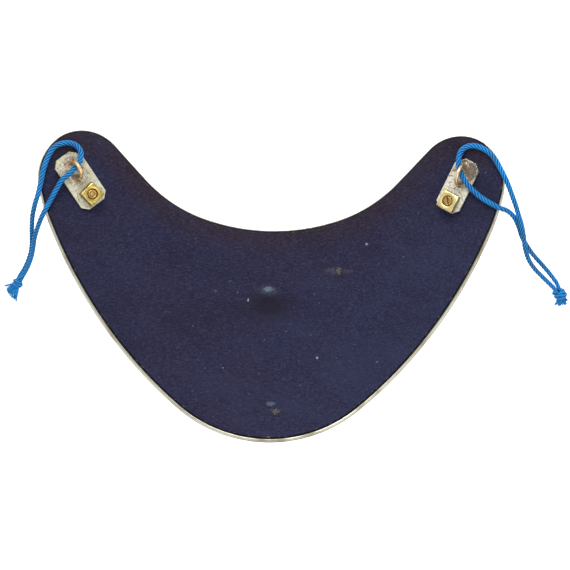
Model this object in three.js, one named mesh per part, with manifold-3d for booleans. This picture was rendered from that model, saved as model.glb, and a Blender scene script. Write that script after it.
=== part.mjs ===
// A crescent gorget lying on its convex front, with its lined back up. A thin silvered sheet with a
// turned-up edge holds a padded cloth lining, and each wing carries a mount plate, which a bolt and a
// square nut clamp on. A wire loop in each mount plate holds a doubled cord with a knotted, frayed end.
// Millimetres, +Z up, +Y towards the neck opening. The origin is on the surface that the gorget lies on,
// at the middle of its plan.
import * as THREE from 'three';
import { mergeVertices } from 'three/addons/utils/BufferGeometryUtils.js';
import Module from 'manifold-3d';

const wasm = await Module();
wasm.setup();

// Dish of the front plate: a shallow bowl that rests on its lowest point
const DISH_RADIUS_ACROSS = 185;
const DISH_RADIUS_ALONG = 230;
const DISH_LOW_Y = 4.66;

// Heights above the front face, square to it, and clearances
const SHEET = 0.6;
const EDGE_DEPTH = 2.7;
const LINING_TOP = 2.8;
const GAP = 0.3;

// Half outline as tangent arcs, from the centre line to the wing tip. Each row pairs a stretch of the
// lower edge with the stretch of the neck edge opposite it: radius in mm, turn in degrees.
const LOWER_EDGE_Y = -62.14;
const OUTLINE = [
  { part: 'middle', lowerRadius: 57, lowerTurn: 40, neckRadius: 91.4, neckTurn: 17.8, steps: 7 },
  { part: 'shoulder', lowerRadius: 185, lowerTurn: 27.8, neckRadius: 58.1, neckTurn: 27.9, steps: 11 },
  { part: 'flank', lowerRadius: 86.5, lowerTurn: 10, neckRadius: 0, neckTurn: 0, steps: 3 },
  { part: 'tip', lowerRadius: 21.5, lowerTurn: 60, neckRadius: 16.4, neckTurn: 0, steps: 9 },
];
const ROWS_ACROSS = 6;
const TUBE_SIDES = 8;

// Edge sections: height above the front face and inset from the outline
const PLATE_SECTION = [
  { height: 0, inset: -0.1 },
  { height: 0.5, inset: -0.3 },
  { height: 1, inset: 0 },
  { height: EDGE_DEPTH, inset: 0 },
];
const POCKET_SECTION = [
  { height: SHEET, inset: SHEET },
  { height: EDGE_DEPTH + 1, inset: SHEET },
];
const LINING_SECTION = [
  { height: SHEET + GAP, inset: SHEET + 0.5 },
  { height: 2.1, inset: SHEET + 0.5 },
  { height: 2.6, inset: SHEET + 0.9 },
  { height: LINING_TOP, inset: SHEET + 1.8 },
];

// Low bumps in the lining on the centre line: place, radius and rise
const LINING_BUMPS = [
  { x: -1.2, y: -0.4, radius: 4.2, rise: 1.1 },
  { x: 0.2, y: -44.7, radius: 2.6, rise: 0.7 },
];

// Fittings of each wing: the middle, length and width of the mount plate, then the loop's place along it
// and its span from leg to leg. The angles are in degrees in the plane of the mount plate: the plate's
// long side from +X, then the nut and the loop from the long side. lean tips the loop towards the neck.
const WINGS = [
  {
    side: 'left', x: -78.8, y: 42.6, length: 24, width: 12.5, angle: -50.5,
    nutTurn: 10, loopAlong: -4.8, loopSpan: 7.2, loopTurn: -11, lean: 6,
  },
  {
    side: 'right', x: 77, y: 42.7, length: 22.5, width: 10.6, angle: -120,
    nutTurn: 0, loopAlong: -4.7, loopSpan: 7.8, loopTurn: 9, lean: -3,
  },
];

// Mount plates with clipped corners, clear of the dished lining at their ends
const LONGEST_MOUNT = Math.max(...WINGS.map(({ length }) => length));
const MOUNT_THICKNESS = 1.2;
const MOUNT_CLIP = 2.4;
const MOUNT_BASE = LINING_TOP + GAP + LONGEST_MOUNT ** 2 / (8 * DISH_RADIUS_ACROSS);
const MOUNT_TOP = MOUNT_BASE + MOUNT_THICKNESS;

// Bolt and square nut
const BOLT_ALONG = 7;
const BOLT_RADIUS = 2;
const BOLT_HEAD_RADIUS = 5.5;
const BOLT_HEAD_RISE = 2.4;
const BOLT_HEAD_RIM = 0.6;
const BORE_RADIUS = BOLT_RADIUS + GAP + 0.1;
const NUT_SIZE = 7;
const NUT_HEIGHT = 3.2;
const NUT_TOP = MOUNT_TOP + GAP + NUT_HEIGHT;
const BOLT_TOP = NUT_TOP - 0.3;

// Wire loop: a staple whose legs go through the mount plate and are bent flat beneath it
const LOOP_HEIGHT = 6.8;
const WIRE_RADIUS = 0.75;
const LEG_HOLE_RADIUS = 1.3;
const CLINCH_LENGTH = 2;

// Cords: centre lines from the knot up over the wing, through the loop and back to the knot
const CORD_RADIUS = 1.15;
const CORD_STEP = 3.4;
const CORD_ROUTES = {
  left: [
    [-103.2, 5.2, 1.5], [-101.5, 8.0, 1.6], [-100.0, 10.8, 3.0], [-98.5, 14.0, 6.4], [-97.6, 16.9, 10.4],
    [-97.1, 20.0, 15.2], [-96.6, 22.9, 20.4], [-95.8, 27.2, 25.4], [-94.5, 31.4, 28.8], [-93.3, 34.8, 30.4],
    [-92.2, 40.2, 30.6], [-91.3, 44.9, 30.9], [-89.6, 50.0, 31.0], [-87.2, 54.0, 30.7], [-84.2, 55.7, 29.7],
    [-81.2, 56.1, 28.6], [-78.6, 55.1, 28.1], [-76.9, 52.8, 28.1], [-76.9, 49.5, 28.0], [-78.3, 46.9, 28.2],
    [-81.0, 43.7, 28.6], [-84.1, 40.7, 28.8], [-86.3, 37.2, 27.9], [-88.7, 32.5, 27.8], [-91.0, 27.6, 28.6],
    [-92.8, 24.1, 26.6], [-94.3, 21.1, 23.0], [-95.6, 18.2, 18.8], [-96.4, 15.5, 14.8], [-97.4, 12.6, 10.6],
    [-98.9, 9.6, 6.7], [-100.4, 7.0, 4.7], [-101.9, 4.3, 4.3],
  ],
  right: [
    [116.6, 3.4, 3.2], [114.5, 5.2, 4.2], [111.2, 7.9, 6.2], [108.0, 10.5, 9.2], [105.3, 13.5, 12.8],
    [103.3, 17.6, 17.0], [102.3, 21.8, 20.8], [101.2, 25.8, 23.8], [99.6, 29.8, 26.6], [97.7, 34.7, 29.0],
    [94.2, 42.5, 32.4], [91.2, 48.8, 31.6], [88.2, 53.4, 31.0], [85.1, 55.9, 30.1], [81.5, 57.4, 28.8],
    [78.4, 57.1, 27.7], [76.2, 55.2, 27.4], [75.4, 52.4, 27.4], [75.3, 49.9, 27.1], [75.9, 47.5, 26.8],
    [77.2, 44.4, 26.9], [79.6, 41.1, 27.2], [82.4, 38.4, 26.9], [85.1, 36.3, 26.9], [88.4, 34.1, 27.8],
    [91.8, 32.1, 29.5], [95.3, 31.2, 27.0], [98.2, 29.2, 23.6], [100.4, 26.0, 19.6], [102.1, 22.5, 16.0],
    [104.2, 19.8, 13.2], [106.9, 16.6, 10.3], [110.9, 12.9, 7.2], [114.6, 9.3, 4.8], [117.8, 5.6, 3.2],
  ],
};

// Knots that end the doubled cords, and the frayed locks that fan out of each
const KNOTS = {
  left: {
    middle: [-103.9, 1.9, 2.6],
    radii: [2.2, 2.1, 2.5],
    locks: [[-109.2, 1.1, 1.3], [-108.1, -1.2, 1.6], [-106.4, -3.8, 1.2], [-104.4, -5.2, 1], [-103.9, -2.5, 2.2]],
  },
  right: {
    middle: [119.3, 1.1, 2.6],
    radii: [2.9, 2.3, 2.5],
    locks: [[117, -3.2, 1.1], [119.3, -3.8, 1.4], [121.8, -3.1, 1.2], [122.5, -1.4, 1.9]],
  },
};
const LOCK_ROOT_RADIUS = 1.3;
const LOCK_TIP_RADIUS = 0.45;

// A geometry as a solid: shared vertices merged, faces that collapsed to a line dropped.
function solidOf(geometry) {
  const bare = geometry.clone();
  bare.deleteAttribute('normal');
  bare.deleteAttribute('uv');
  const merged = mergeVertices(bare, 1e-3);
  const index = merged.index.array;
  const triVerts = [];
  for (let i = 0; i < index.length; i += 3) {
    const [a, b, c] = index.subarray(i, i + 3);
    if (a !== b && b !== c && c !== a) triVerts.push(a, b, c);
  }
  const vertProperties = merged.getAttribute('position').array;
  return new wasm.Manifold(new wasm.Mesh({ numProp: 3, vertProperties, triVerts: new Uint32Array(triVerts) }));
}

// A solid as a flat-shaded geometry.
function geometryOf(solid) {
  const { numProp, vertProperties, triVerts } = solid.getMesh();
  const positions = new Float32Array(triVerts.length * 3);
  triVerts.forEach((vertex, i) => {
    positions.set(vertProperties.subarray(vertex * numProp, vertex * numProp + 3), i * 3);
  });
  const geometry = new THREE.BufferGeometry();
  geometry.setAttribute('position', new THREE.BufferAttribute(positions, 3));
  geometry.computeVertexNormals();
  return geometry;
}

function namedMesh(name, geometry, colour, roughness, metalness) {
  const material = new THREE.MeshStandardMaterial({ color: colour, roughness, metalness });
  const mesh = new THREE.Mesh(geometry, material);
  mesh.name = name;
  return mesh;
}

// The dish's unit normal at a place in plan, pointing to the back of the gorget.
function dishNormal(x, y) {
  const slopeX = x / DISH_RADIUS_ACROSS;
  const slopeY = (y - DISH_LOW_Y) / DISH_RADIUS_ALONG;
  return new THREE.Vector3(-slopeX, -slopeY, 1).normalize();
}

// The point at a height above the front face.
function onDish(x, y, height) {
  const rise = x ** 2 / (2 * DISH_RADIUS_ACROSS) + (y - DISH_LOW_Y) ** 2 / (2 * DISH_RADIUS_ALONG);
  return new THREE.Vector3(x, y, rise).addScaledVector(dishNormal(x, y), height);
}

// Stations along one edge in plan, from the centre line to the wing tip, each with its inward normal.
// inward is 1 where the crescent lies to the left of the way walked, and -1 where it lies to the right.
function walkEdge(startY, rows, inward) {
  const stations = [];
  const place = new THREE.Vector2(0, startY);
  let heading = 0;
  const addStation = () => {
    const normal = new THREE.Vector2(-Math.sin(heading), Math.cos(heading)).multiplyScalar(inward);
    stations.push({ place: place.clone(), normal, heading });
  };
  addStation();
  for (const { radius, turn, length, steps } of rows) {
    const turnStep = THREE.MathUtils.degToRad(turn) / steps;
    const chord = radius ? 2 * radius * Math.sin(Math.abs(turnStep) / 2) : length / steps;
    for (let step = 0; step < steps; step += 1) {
      const chordHeading = heading + turnStep / 2;
      place.x += chord * Math.cos(chordHeading);
      place.y += chord * Math.sin(chordHeading);
      heading += turnStep;
      addStation();
    }
  }
  return stations;
}

const LOWER_EDGE = walkEdge(
  LOWER_EDGE_Y,
  OUTLINE.map((row) => ({ radius: row.lowerRadius, turn: row.lowerTurn, steps: row.steps })),
  1,
);

// The neck edge meets the lower edge at the wing tip, square on: the tip's turn, the flank's length and
// the height of the neck's middle follow from that.
function neckEdge() {
  const tip = LOWER_EDGE.at(-1);
  const total = (key) => OUTLINE.reduce((sum, row) => sum + row[key], 0);
  const flankHeading = THREE.MathUtils.degToRad(total('neckTurn'));
  const tipTurn = total('lowerTurn') - 180 - total('neckTurn');
  const rows = (flankLength) => OUTLINE.map((row) => ({
    radius: row.neckRadius,
    turn: row.part === 'tip' ? tipTurn : row.neckTurn,
    length: flankLength,
    steps: row.steps,
  }));
  const unmoved = walkEdge(0, rows(0), -1).at(-1).place;
  const flankLength = (tip.place.x - unmoved.x) / Math.cos(flankHeading);
  const neckY = tip.place.y - unmoved.y - flankLength * Math.sin(flankHeading);
  return walkEdge(neckY, rows(flankLength), -1);
}

const NECK_EDGE = neckEdge();

// A block with the crescent's outline, bent onto the dish, with the given edge section.
function crescentBlock(section) {
  const columns = LOWER_EDGE.length - 1;
  const layers = section.length - 1;
  const geometry = new THREE.BoxGeometry(1, 1, 1, 2 * columns, ROWS_ACROSS, layers);
  const position = geometry.getAttribute('position');
  const corner = new THREE.Vector3();
  for (let i = 0; i < position.count; i += 1) {
    corner.fromBufferAttribute(position, i).addScalar(0.5);
    const column = Math.round(corner.x * 2 * columns) - columns;
    const { height, inset } = section[Math.round(corner.z * layers)];
    const [lower, neck] = [LOWER_EDGE, NECK_EDGE].map((edge) => {
      const { place, normal } = edge[Math.abs(column)];
      return place.clone().addScaledVector(normal, inset);
    });
    const plan = lower.lerp(neck, corner.y);
    const point = onDish(plan.x * Math.sign(column), plan.y, height);
    position.setXYZ(i, point.x, point.y, point.z);
  }
  return solidOf(geometry);
}

// The frame of a wing's fittings: X along the mount plate to its nut, Z square to the front face.
function fittingFrame({ x, y, angle }) {
  const up = dishNormal(x, y);
  const east = new THREE.Vector3(0, 1, 0).cross(up).normalize();
  const along = east.applyAxisAngle(up, THREE.MathUtils.degToRad(angle));
  const across = up.clone().cross(along);
  return new THREE.Matrix4().makeBasis(along, across, up).setPosition(onDish(x, y, 0));
}

// A cutter for a bolt hole, through the sheet and the lining.
function boltHole(wing, radius) {
  const geometry = new THREE.CylinderGeometry(radius, radius, 4 * EDGE_DEPTH, 16);
  geometry.rotateX(Math.PI / 2);
  geometry.translate(BOLT_ALONG, 0, 0);
  return solidOf(geometry.applyMatrix4(fittingFrame(wing)));
}

// A cutter for the slot in the lining that takes the bent legs of a wire loop.
function clinchSlot(wing) {
  const length = wing.loopSpan + 2 * (CLINCH_LENGTH + WIRE_RADIUS + 2 * GAP);
  const width = 2 * (WIRE_RADIUS + 2 * GAP);
  const geometry = new THREE.BoxGeometry(length, width, 4 * EDGE_DEPTH);
  geometry.rotateZ(THREE.MathUtils.degToRad(wing.loopTurn));
  geometry.translate(wing.loopAlong, 0, 0);
  return solidOf(geometry.applyMatrix4(fittingFrame(wing)));
}

function frontPlate() {
  let solid = crescentBlock(PLATE_SECTION).subtract(crescentBlock(POCKET_SECTION));
  for (const wing of WINGS) solid = solid.subtract(boltHole(wing, BORE_RADIUS));
  return geometryOf(solid);
}

function liningBump({ x, y, radius, rise }) {
  const geometry = new THREE.SphereGeometry(1, 14, 8);
  geometry.scale(radius, radius, rise);
  const sunk = 0.15 * rise;
  const { x: px, y: py, z: pz } = onDish(x, y, LINING_TOP - sunk);
  return solidOf(geometry.translate(px, py, pz));
}

function lining() {
  let solid = crescentBlock(LINING_SECTION);
  for (const bump of LINING_BUMPS) solid = solid.add(liningBump(bump));
  for (const wing of WINGS) {
    solid = solid.subtract(boltHole(wing, BORE_RADIUS + GAP));
    solid = solid.subtract(clinchSlot(wing));
  }
  return geometryOf(solid);
}

function circleHole(x, y, radius) {
  return new THREE.Path().absarc(x, y, radius, 0, 2 * Math.PI, true);
}

function mountPlate(wing) {
  const endX = wing.length / 2;
  const sideY = wing.width / 2;
  const outline = new THREE.Shape([
    new THREE.Vector2(-endX + MOUNT_CLIP, -sideY),
    new THREE.Vector2(endX - MOUNT_CLIP, -sideY),
    new THREE.Vector2(endX, -sideY + MOUNT_CLIP),
    new THREE.Vector2(endX, sideY - MOUNT_CLIP),
    new THREE.Vector2(endX - MOUNT_CLIP, sideY),
    new THREE.Vector2(-endX + MOUNT_CLIP, sideY),
    new THREE.Vector2(-endX, sideY - MOUNT_CLIP),
    new THREE.Vector2(-endX, -sideY + MOUNT_CLIP),
  ]);
  outline.holes.push(circleHole(BOLT_ALONG, 0, BORE_RADIUS));
  const turn = THREE.MathUtils.degToRad(wing.loopTurn);
  for (const end of [-1, 1]) {
    const reach = end * wing.loopSpan / 2;
    const [x, y] = [wing.loopAlong + reach * Math.cos(turn), reach * Math.sin(turn)];
    outline.holes.push(circleHole(x, y, LEG_HOLE_RADIUS));
  }
  const geometry = new THREE.ExtrudeGeometry(outline, {
    depth: MOUNT_THICKNESS,
    bevelEnabled: false,
    curveSegments: 6,
  });
  return geometry.translate(0, 0, MOUNT_BASE);
}

function nut(wing) {
  const half = NUT_SIZE / 2;
  const outline = new THREE.Shape([
    new THREE.Vector2(-half, -half),
    new THREE.Vector2(half, -half),
    new THREE.Vector2(half, half),
    new THREE.Vector2(-half, half),
  ]);
  outline.holes.push(circleHole(0, 0, BORE_RADIUS));
  const geometry = new THREE.ExtrudeGeometry(outline, {
    depth: NUT_HEIGHT,
    bevelEnabled: false,
    curveSegments: 6,
  });
  geometry.rotateZ(THREE.MathUtils.degToRad(wing.nutTurn));
  return geometry.translate(BOLT_ALONG, 0, NUT_TOP - NUT_HEIGHT);
}

// A bolt with a plain domed head on the front of the gorget.
function bolt() {
  const headTop = -GAP;
  const profile = [new THREE.Vector2(0, headTop - BOLT_HEAD_RISE)];
  for (const degrees of [30, 60, 90]) {
    const angle = THREE.MathUtils.degToRad(degrees);
    const domeRise = BOLT_HEAD_RISE - BOLT_HEAD_RIM;
    const height = headTop - BOLT_HEAD_RIM - domeRise * Math.cos(angle);
    profile.push(new THREE.Vector2(BOLT_HEAD_RADIUS * Math.sin(angle), height));
  }
  profile.push(new THREE.Vector2(BOLT_HEAD_RADIUS, headTop));
  profile.push(new THREE.Vector2(BOLT_RADIUS, headTop));
  profile.push(new THREE.Vector2(BOLT_RADIUS, BOLT_TOP));
  profile.push(new THREE.Vector2(0, BOLT_TOP));
  const geometry = new THREE.LatheGeometry(profile, 16);
  geometry.rotateX(Math.PI / 2);
  return geometry.translate(BOLT_ALONG, 0, 0);
}

// A tube along a route, closed at both ends. An arc of a shape has two segments for each curve segment.
function tube(route, radius, steps) {
  const section = new THREE.Shape().absarc(0, 0, radius, 0, 2 * Math.PI);
  return new THREE.ExtrudeGeometry(section, {
    steps,
    curveSegments: TUBE_SIDES / 2,
    extrudePath: route,
    bevelEnabled: false,
  });
}

function wireLoop(wing) {
  const foot = wing.loopSpan / 2;
  const bentHeight = MOUNT_BASE - GAP - WIRE_RADIUS;
  const archHeight = MOUNT_TOP + LOOP_HEIGHT - WIRE_RADIUS - foot;
  const lean = Math.tan(THREE.MathUtils.degToRad(wing.lean));
  const half = [
    [foot + CLINCH_LENGTH, bentHeight],
    [foot + 1, bentHeight],
    [foot, bentHeight + 1],
    [foot, MOUNT_TOP],
    [foot, archHeight],
  ];
  for (const degrees of [30, 60]) {
    const angle = THREE.MathUtils.degToRad(degrees);
    half.push([foot * Math.cos(angle), archHeight + foot * Math.sin(angle)]);
  }
  const otherHalf = half.map(([along, height]) => [-along, height]).reverse();
  const points = [...half, [0, archHeight + foot], ...otherHalf].map(([along, height]) => {
    const across = lean * Math.max(0, height - MOUNT_TOP);
    return new THREE.Vector3(along, across, height);
  });
  const geometry = tube(new THREE.CatmullRomCurve3(points), WIRE_RADIUS, 30);
  geometry.rotateZ(THREE.MathUtils.degToRad(wing.loopTurn));
  return geometry.translate(wing.loopAlong, 0, 0);
}

function cord(side) {
  const route = new THREE.CatmullRomCurve3(CORD_ROUTES[side].map((point) => new THREE.Vector3(...point)));
  const steps = Math.round(route.getLength() / CORD_STEP);
  return tube(route, CORD_RADIUS, steps);
}

// A knot head with its frayed locks, joined into one solid.
function knot(side) {
  const { middle, radii, locks } = KNOTS[side];
  const head = new THREE.SphereGeometry(1, 12, 8);
  head.scale(...radii);
  head.translate(...middle);
  let solid = solidOf(head);
  for (const tip of locks) {
    const from = new THREE.Vector3(...middle);
    const way = new THREE.Vector3(...tip).sub(from);
    const lock = new THREE.CylinderGeometry(LOCK_TIP_RADIUS, LOCK_ROOT_RADIUS, way.length(), 7);
    lock.translate(0, way.length() / 2, 0);
    const turn = new THREE.Quaternion().setFromUnitVectors(new THREE.Vector3(0, 1, 0), way.normalize());
    lock.applyQuaternion(turn);
    lock.translate(...from);
    solid = solid.add(solidOf(lock));
  }
  return geometryOf(solid);
}

const gorget = new THREE.Group();
gorget.add(namedMesh('front_plate', frontPlate(), 0xb9b6a2, 0.38, 1));
gorget.add(namedMesh('lining', lining(), 0x31304a, 0.95, 0));
for (const wing of WINGS) {
  const fittings = new THREE.Group();
  fittings.applyMatrix4(fittingFrame(wing));
  fittings.add(namedMesh(`mount_plate_${wing.side}`, mountPlate(wing), 0xcbc9ba, 0.55, 0.7));
  fittings.add(namedMesh(`bolt_${wing.side}`, bolt(), 0xb98a4a, 0.45, 1));
  fittings.add(namedMesh(`nut_${wing.side}`, nut(wing), 0xd6bb74, 0.4, 1));
  fittings.add(namedMesh(`wire_loop_${wing.side}`, wireLoop(wing), 0xdcbb88, 0.35, 1));
  gorget.add(fittings);
  gorget.add(namedMesh(`cord_${wing.side}`, cord(wing.side), 0x1a6fd0, 0.85, 0));
  gorget.add(namedMesh(`knot_${wing.side}`, knot(wing.side), 0x1a6fd0, 0.85, 0));
}

export default gorget;
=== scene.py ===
"""A crescent gorget lying on its convex front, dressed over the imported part.

The lined back faces up. A silvered sheet holds a padded cloth lining, and each wing carries a mount plate with
its bolt, square nut, wire loop and doubled neck cord. Sizes are in millimetres and reach Blender through MM.
Vertices nearer than MERGE, in metres, are one. CLEARANCE is the room that the solids leave between pieces.
"""

import logging
import math
import random
from dataclasses import dataclass
from enum import Enum
from typing import Callable, Iterable

import bmesh
import bpy
from mathutils import Matrix, Quaternion, Vector, kdtree, noise


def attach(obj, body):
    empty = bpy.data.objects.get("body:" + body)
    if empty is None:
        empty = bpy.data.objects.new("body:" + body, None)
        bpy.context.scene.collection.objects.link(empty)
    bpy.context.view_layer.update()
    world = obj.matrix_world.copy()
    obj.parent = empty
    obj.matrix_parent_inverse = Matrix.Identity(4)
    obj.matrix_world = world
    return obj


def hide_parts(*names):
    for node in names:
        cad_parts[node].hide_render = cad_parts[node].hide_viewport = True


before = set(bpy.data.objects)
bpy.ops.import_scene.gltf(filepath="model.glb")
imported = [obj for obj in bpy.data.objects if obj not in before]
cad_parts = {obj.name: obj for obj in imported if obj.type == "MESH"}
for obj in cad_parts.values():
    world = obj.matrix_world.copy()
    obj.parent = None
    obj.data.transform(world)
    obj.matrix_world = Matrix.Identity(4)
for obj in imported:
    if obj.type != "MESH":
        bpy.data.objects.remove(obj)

MM = 0.001
MERGE = 1e-7
CLEARANCE = 0.3
BODY = "root"
LOG = logging.getLogger("gorget")
Colour = tuple[float, float, float, float]


class Side(Enum):
    """The wing that a fitting belongs to, as the photo shows it."""

    LEFT = "left"
    RIGHT = "right"


class Slot(Enum):
    """The record's material slots."""

    FRONT_PLATE = "front_plate"
    LINING = "lining"
    MOUNT_PLATE = "mount_plate"
    BOLT = "bolt"
    NUT = "nut"
    WIRE_LOOP = "wire_loop"
    CORD = "cord"
    KNOT = "knot"


def paint(code: str) -> Colour:
    """Turns a display colour into the linear colour that shaders take.

    Args:
        code: Six hexadecimal digits.

    Returns:
        Red, green, blue and alpha.
    """
    parts = [int(code[i : i + 2], 16) / 255 for i in (0, 2, 4)]
    red, green, blue = (p / 12.92 if p <= 0.04045 else ((p + 0.055) / 1.055) ** 2.4 for p in parts)
    return (red, green, blue, 1.0)


def smooth_fall(distance: float, reach: float) -> float:
    """Returns 1 at no distance, falling smoothly to 0 at the reach."""
    t = min(1.0, max(0.0, distance / reach))
    return (1 - t * t) ** 2


# Shape of the dish and the outline


@dataclass(frozen=True)
class Dish:
    """The bowl that the front sheet is bent to."""

    radius_across: float = 185.0
    radius_along: float = 230.0
    low_y: float = 4.66

    def normal(self, x: float, y: float) -> Vector:
        """Returns the unit normal at a place in plan, pointing to the back of the gorget."""
        return Vector((-x / self.radius_across, -(y - self.low_y) / self.radius_along, 1)).normalized()

    def slope(self, place: Vector) -> Vector:
        """Returns the rise of the dish across and along at a place in plan."""
        return Vector((place.x / self.radius_across, (place.y - self.low_y) / self.radius_along))

    def point(self, x: float, y: float, height: float) -> Vector:
        """Finds a point over the dish.

        Args:
            x: Place across, in millimetres.
            y: Place along, in millimetres.
            height: Distance above the front face, square to it.

        Returns:
            The point in metres.
        """
        rise = x * x / (2 * self.radius_across) + (y - self.low_y) ** 2 / (2 * self.radius_along)
        return (Vector((x, y, rise)) + height * self.normal(x, y)) * MM


@dataclass(frozen=True)
class EdgeArc:
    """A stretch of the half outline: an arc of the lower edge and the neck edge opposite it."""

    lower_radius: float
    lower_turn: float
    neck_radius: float
    neck_turn: float
    steps: int


@dataclass(frozen=True)
class Station:
    """A place on the outline in plan, with its inward normal and the lip's outward lean for each mm of height.

    Its share is 1 along the lower edge, where the lip is thicker and the lining stands off it, and 0 at the neck.
    """

    place: Vector
    normal: Vector
    lean: float
    share: float


@dataclass(frozen=True)
class EdgePoint:
    """A point of an edge section: height above the front face, inset, and what the lower edge adds to it."""

    height: float
    inset: float
    more: float = 0.0


class Crescent:
    """The crescent outline in plan and the way a flat grid is bent to it."""

    ARCS = (
        EdgeArc(57, 40, 91.4, 17.8, 28),
        EdgeArc(185, 27.8, 58.1, 27.9, 44),
        EdgeArc(86.5, 10, 0, 0, 12),
        EdgeArc(21.5, 60, 16.4, 0, 36),
    )
    LOWER_EDGE_Y = -62.14
    SLOPE_LEAN = 0.5
    NECK_LEAN = 0.05

    def __init__(self, dish: Dish) -> None:
        """Walks both edges.

        Args:
            dish: The bowl that the outline is bent onto.
        """
        self.dish = dish
        lower_rows = [(a.lower_radius, a.lower_turn, 0.0, a.steps) for a in self.ARCS]
        self.lower = self._walk(self.LOWER_EDGE_Y, lower_rows, 1)
        tip = self.lower[-1].place
        lower_total = sum(a.lower_turn for a in self.ARCS)
        neck_total = sum(a.neck_turn for a in self.ARCS)

        def neck_rows(flank: float) -> list[tuple[float, float, float, int]]:
            """Returns the neck edge's rows for a length of its straight flank."""
            turns = [a.neck_turn for a in self.ARCS[:-1]] + [lower_total - 180 - neck_total]
            return [(a.neck_radius, turn, flank, a.steps) for a, turn in zip(self.ARCS, turns)]

        end = self._walk(0, neck_rows(0), -1)[-1].place
        heading = math.radians(neck_total)
        flank_length = (tip.x - end.x) / math.cos(heading)
        neck_y = tip.y - end.y - flank_length * math.sin(heading)
        self.neck = self._walk(neck_y, neck_rows(flank_length), -1)
        self.columns = len(self.lower) - 1

    def _walk(self, start_y: float, rows: Iterable[tuple[float, float, float, int]],
              inward: int) -> list[Station]:
        """Walks one edge from the centre line to the wing tip.

        Args:
            start_y: Height of the edge on the centre line.
            rows: Radius, turn in degrees, length where the radius is 0, and steps of each stretch.
            inward: 1 where the crescent lies to the left of the way walked, and -1 to the right.

        Returns:
            The stations of the edge.
        """
        place, heading = Vector((0, start_y)), 0.0
        stations = []

        def add() -> None:
            """Adds the station at the present place."""
            normal = Vector((-math.sin(heading), math.cos(heading))) * inward
            slope = self.dish.slope(place)
            lean = -self.SLOPE_LEAN * slope.dot(normal) - self.NECK_LEAN * normal.y
            stations.append(Station(place.copy(), normal, lean, min(1.0, max(0.0, 2 * normal.y))))

        add()
        for radius, turn, length, steps in rows:
            step = math.radians(turn) / steps
            chord = 2 * radius * math.sin(abs(step) / 2) if radius else length / steps
            for _ in range(steps):
                place += chord * Vector((math.cos(heading + step / 2), math.sin(heading + step / 2)))
                heading += step
                add()
        return stations

    def plan(self, u: float, v: float, point: EdgePoint) -> Vector:
        """Finds a place in plan.

        Args:
            u: -1 at the left wing tip, 0 on the centre line, 1 at the right wing tip.
            v: 0 on the lower edge, 1 on the neck edge.
            point: The height and inset of both edges.

        Returns:
            The place, in millimetres.
        """
        column = min(abs(u), 1.0) * self.columns
        first = min(int(column), self.columns - 1)
        part = column - first
        ends = []
        for edge in (self.lower, self.neck):
            near, far = (s.place + (point.inset + s.share * point.more - s.lean * point.height) * s.normal
                         for s in edge[first : first + 2])
            ends.append(near.lerp(far, part))
        place = ends[0].lerp(ends[1], v)
        return Vector((math.copysign(place.x, u) if u else 0.0, place.y))

    def place(self, u: float, v: float, point: EdgePoint) -> Vector:
        """Returns the bent point of a grid, in metres."""
        flat = self.plan(u, v, point)
        return self.dish.point(flat.x, flat.y, point.height)

    def edge_tree(self, edges: Iterable[list[Station]]) -> kdtree.KDTree:
        """Builds a search tree of edge stations on both sides.

        Args:
            edges: The edges to hold.

        Returns:
            The balanced tree, in millimetres.
        """
        places = [s.place for edge in edges for s in edge]
        tree = kdtree.KDTree(2 * len(places))
        for i, place in enumerate(places):
            tree.insert((place.x, place.y, 0), 2 * i)
            tree.insert((-place.x, place.y, 0), 2 * i + 1)
        tree.balance()
        return tree

    def shell(self, rows: int, section: Iterable[EdgePoint]) -> bmesh.types.BMesh:
        """Makes a closed crescent body from its edge section.

        Args:
            rows: Faces from the lower edge to the neck edge.
            section: The edge section from one broad face to the other.

        Returns:
            A bmesh whose vertices keep u and v in float layers.
        """
        points = list(section)
        bm = bmesh.new()
        u_layer = bm.verts.layers.float.new("u")
        v_layer = bm.verts.layers.float.new("v")
        for face_point in (points[0], points[-1]):
            made = bmesh.ops.create_grid(bm, x_segments=2 * self.columns, y_segments=rows, size=1.0)
            for vert in made["verts"]:
                vert[u_layer], vert[v_layer] = vert.co.x, (vert.co.y + 1) / 2
                vert.co = self.place(vert[u_layer], vert[v_layer], face_point)
            if face_point is points[0]:
                bmesh.ops.remove_doubles(bm, verts=bm.verts[:], dist=MERGE)
                ring = [e for e in bm.edges if e.is_boundary]
                for point in points[1:]:
                    made_ring = bmesh.ops.extrude_edge_only(bm, edges=ring)["geom"]
                    verts = {g for g in made_ring if isinstance(g, bmesh.types.BMVert)}
                    for vert in verts:
                        vert.co = self.place(vert[u_layer], vert[v_layer], point)
                    ring = [g for g in made_ring if isinstance(g, bmesh.types.BMEdge) and set(g.verts) <= verts]
        bmesh.ops.remove_doubles(bm, verts=bm.verts[:], dist=MERGE)
        bmesh.ops.recalc_face_normals(bm, faces=bm.faces[:])
        return bm


CRESCENT = Crescent(Dish())


# Meshes and swept tubes


def as_object(bm: bmesh.types.BMesh, name: str, material: bpy.types.Material,
              smooth: bool = True) -> bpy.types.Object:
    """Turns a bmesh into an object at the origin.

    Args:
        bm: The mesh, which is freed.
        name: Name of the object.
        material: Its material.
        smooth: Whether its faces are shaded smooth.

    Returns:
        The new object.
    """
    mesh = bpy.data.meshes.new(name)
    bm.to_mesh(mesh)
    bm.free()
    return mesh_object(mesh, name, material, smooth)


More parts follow.
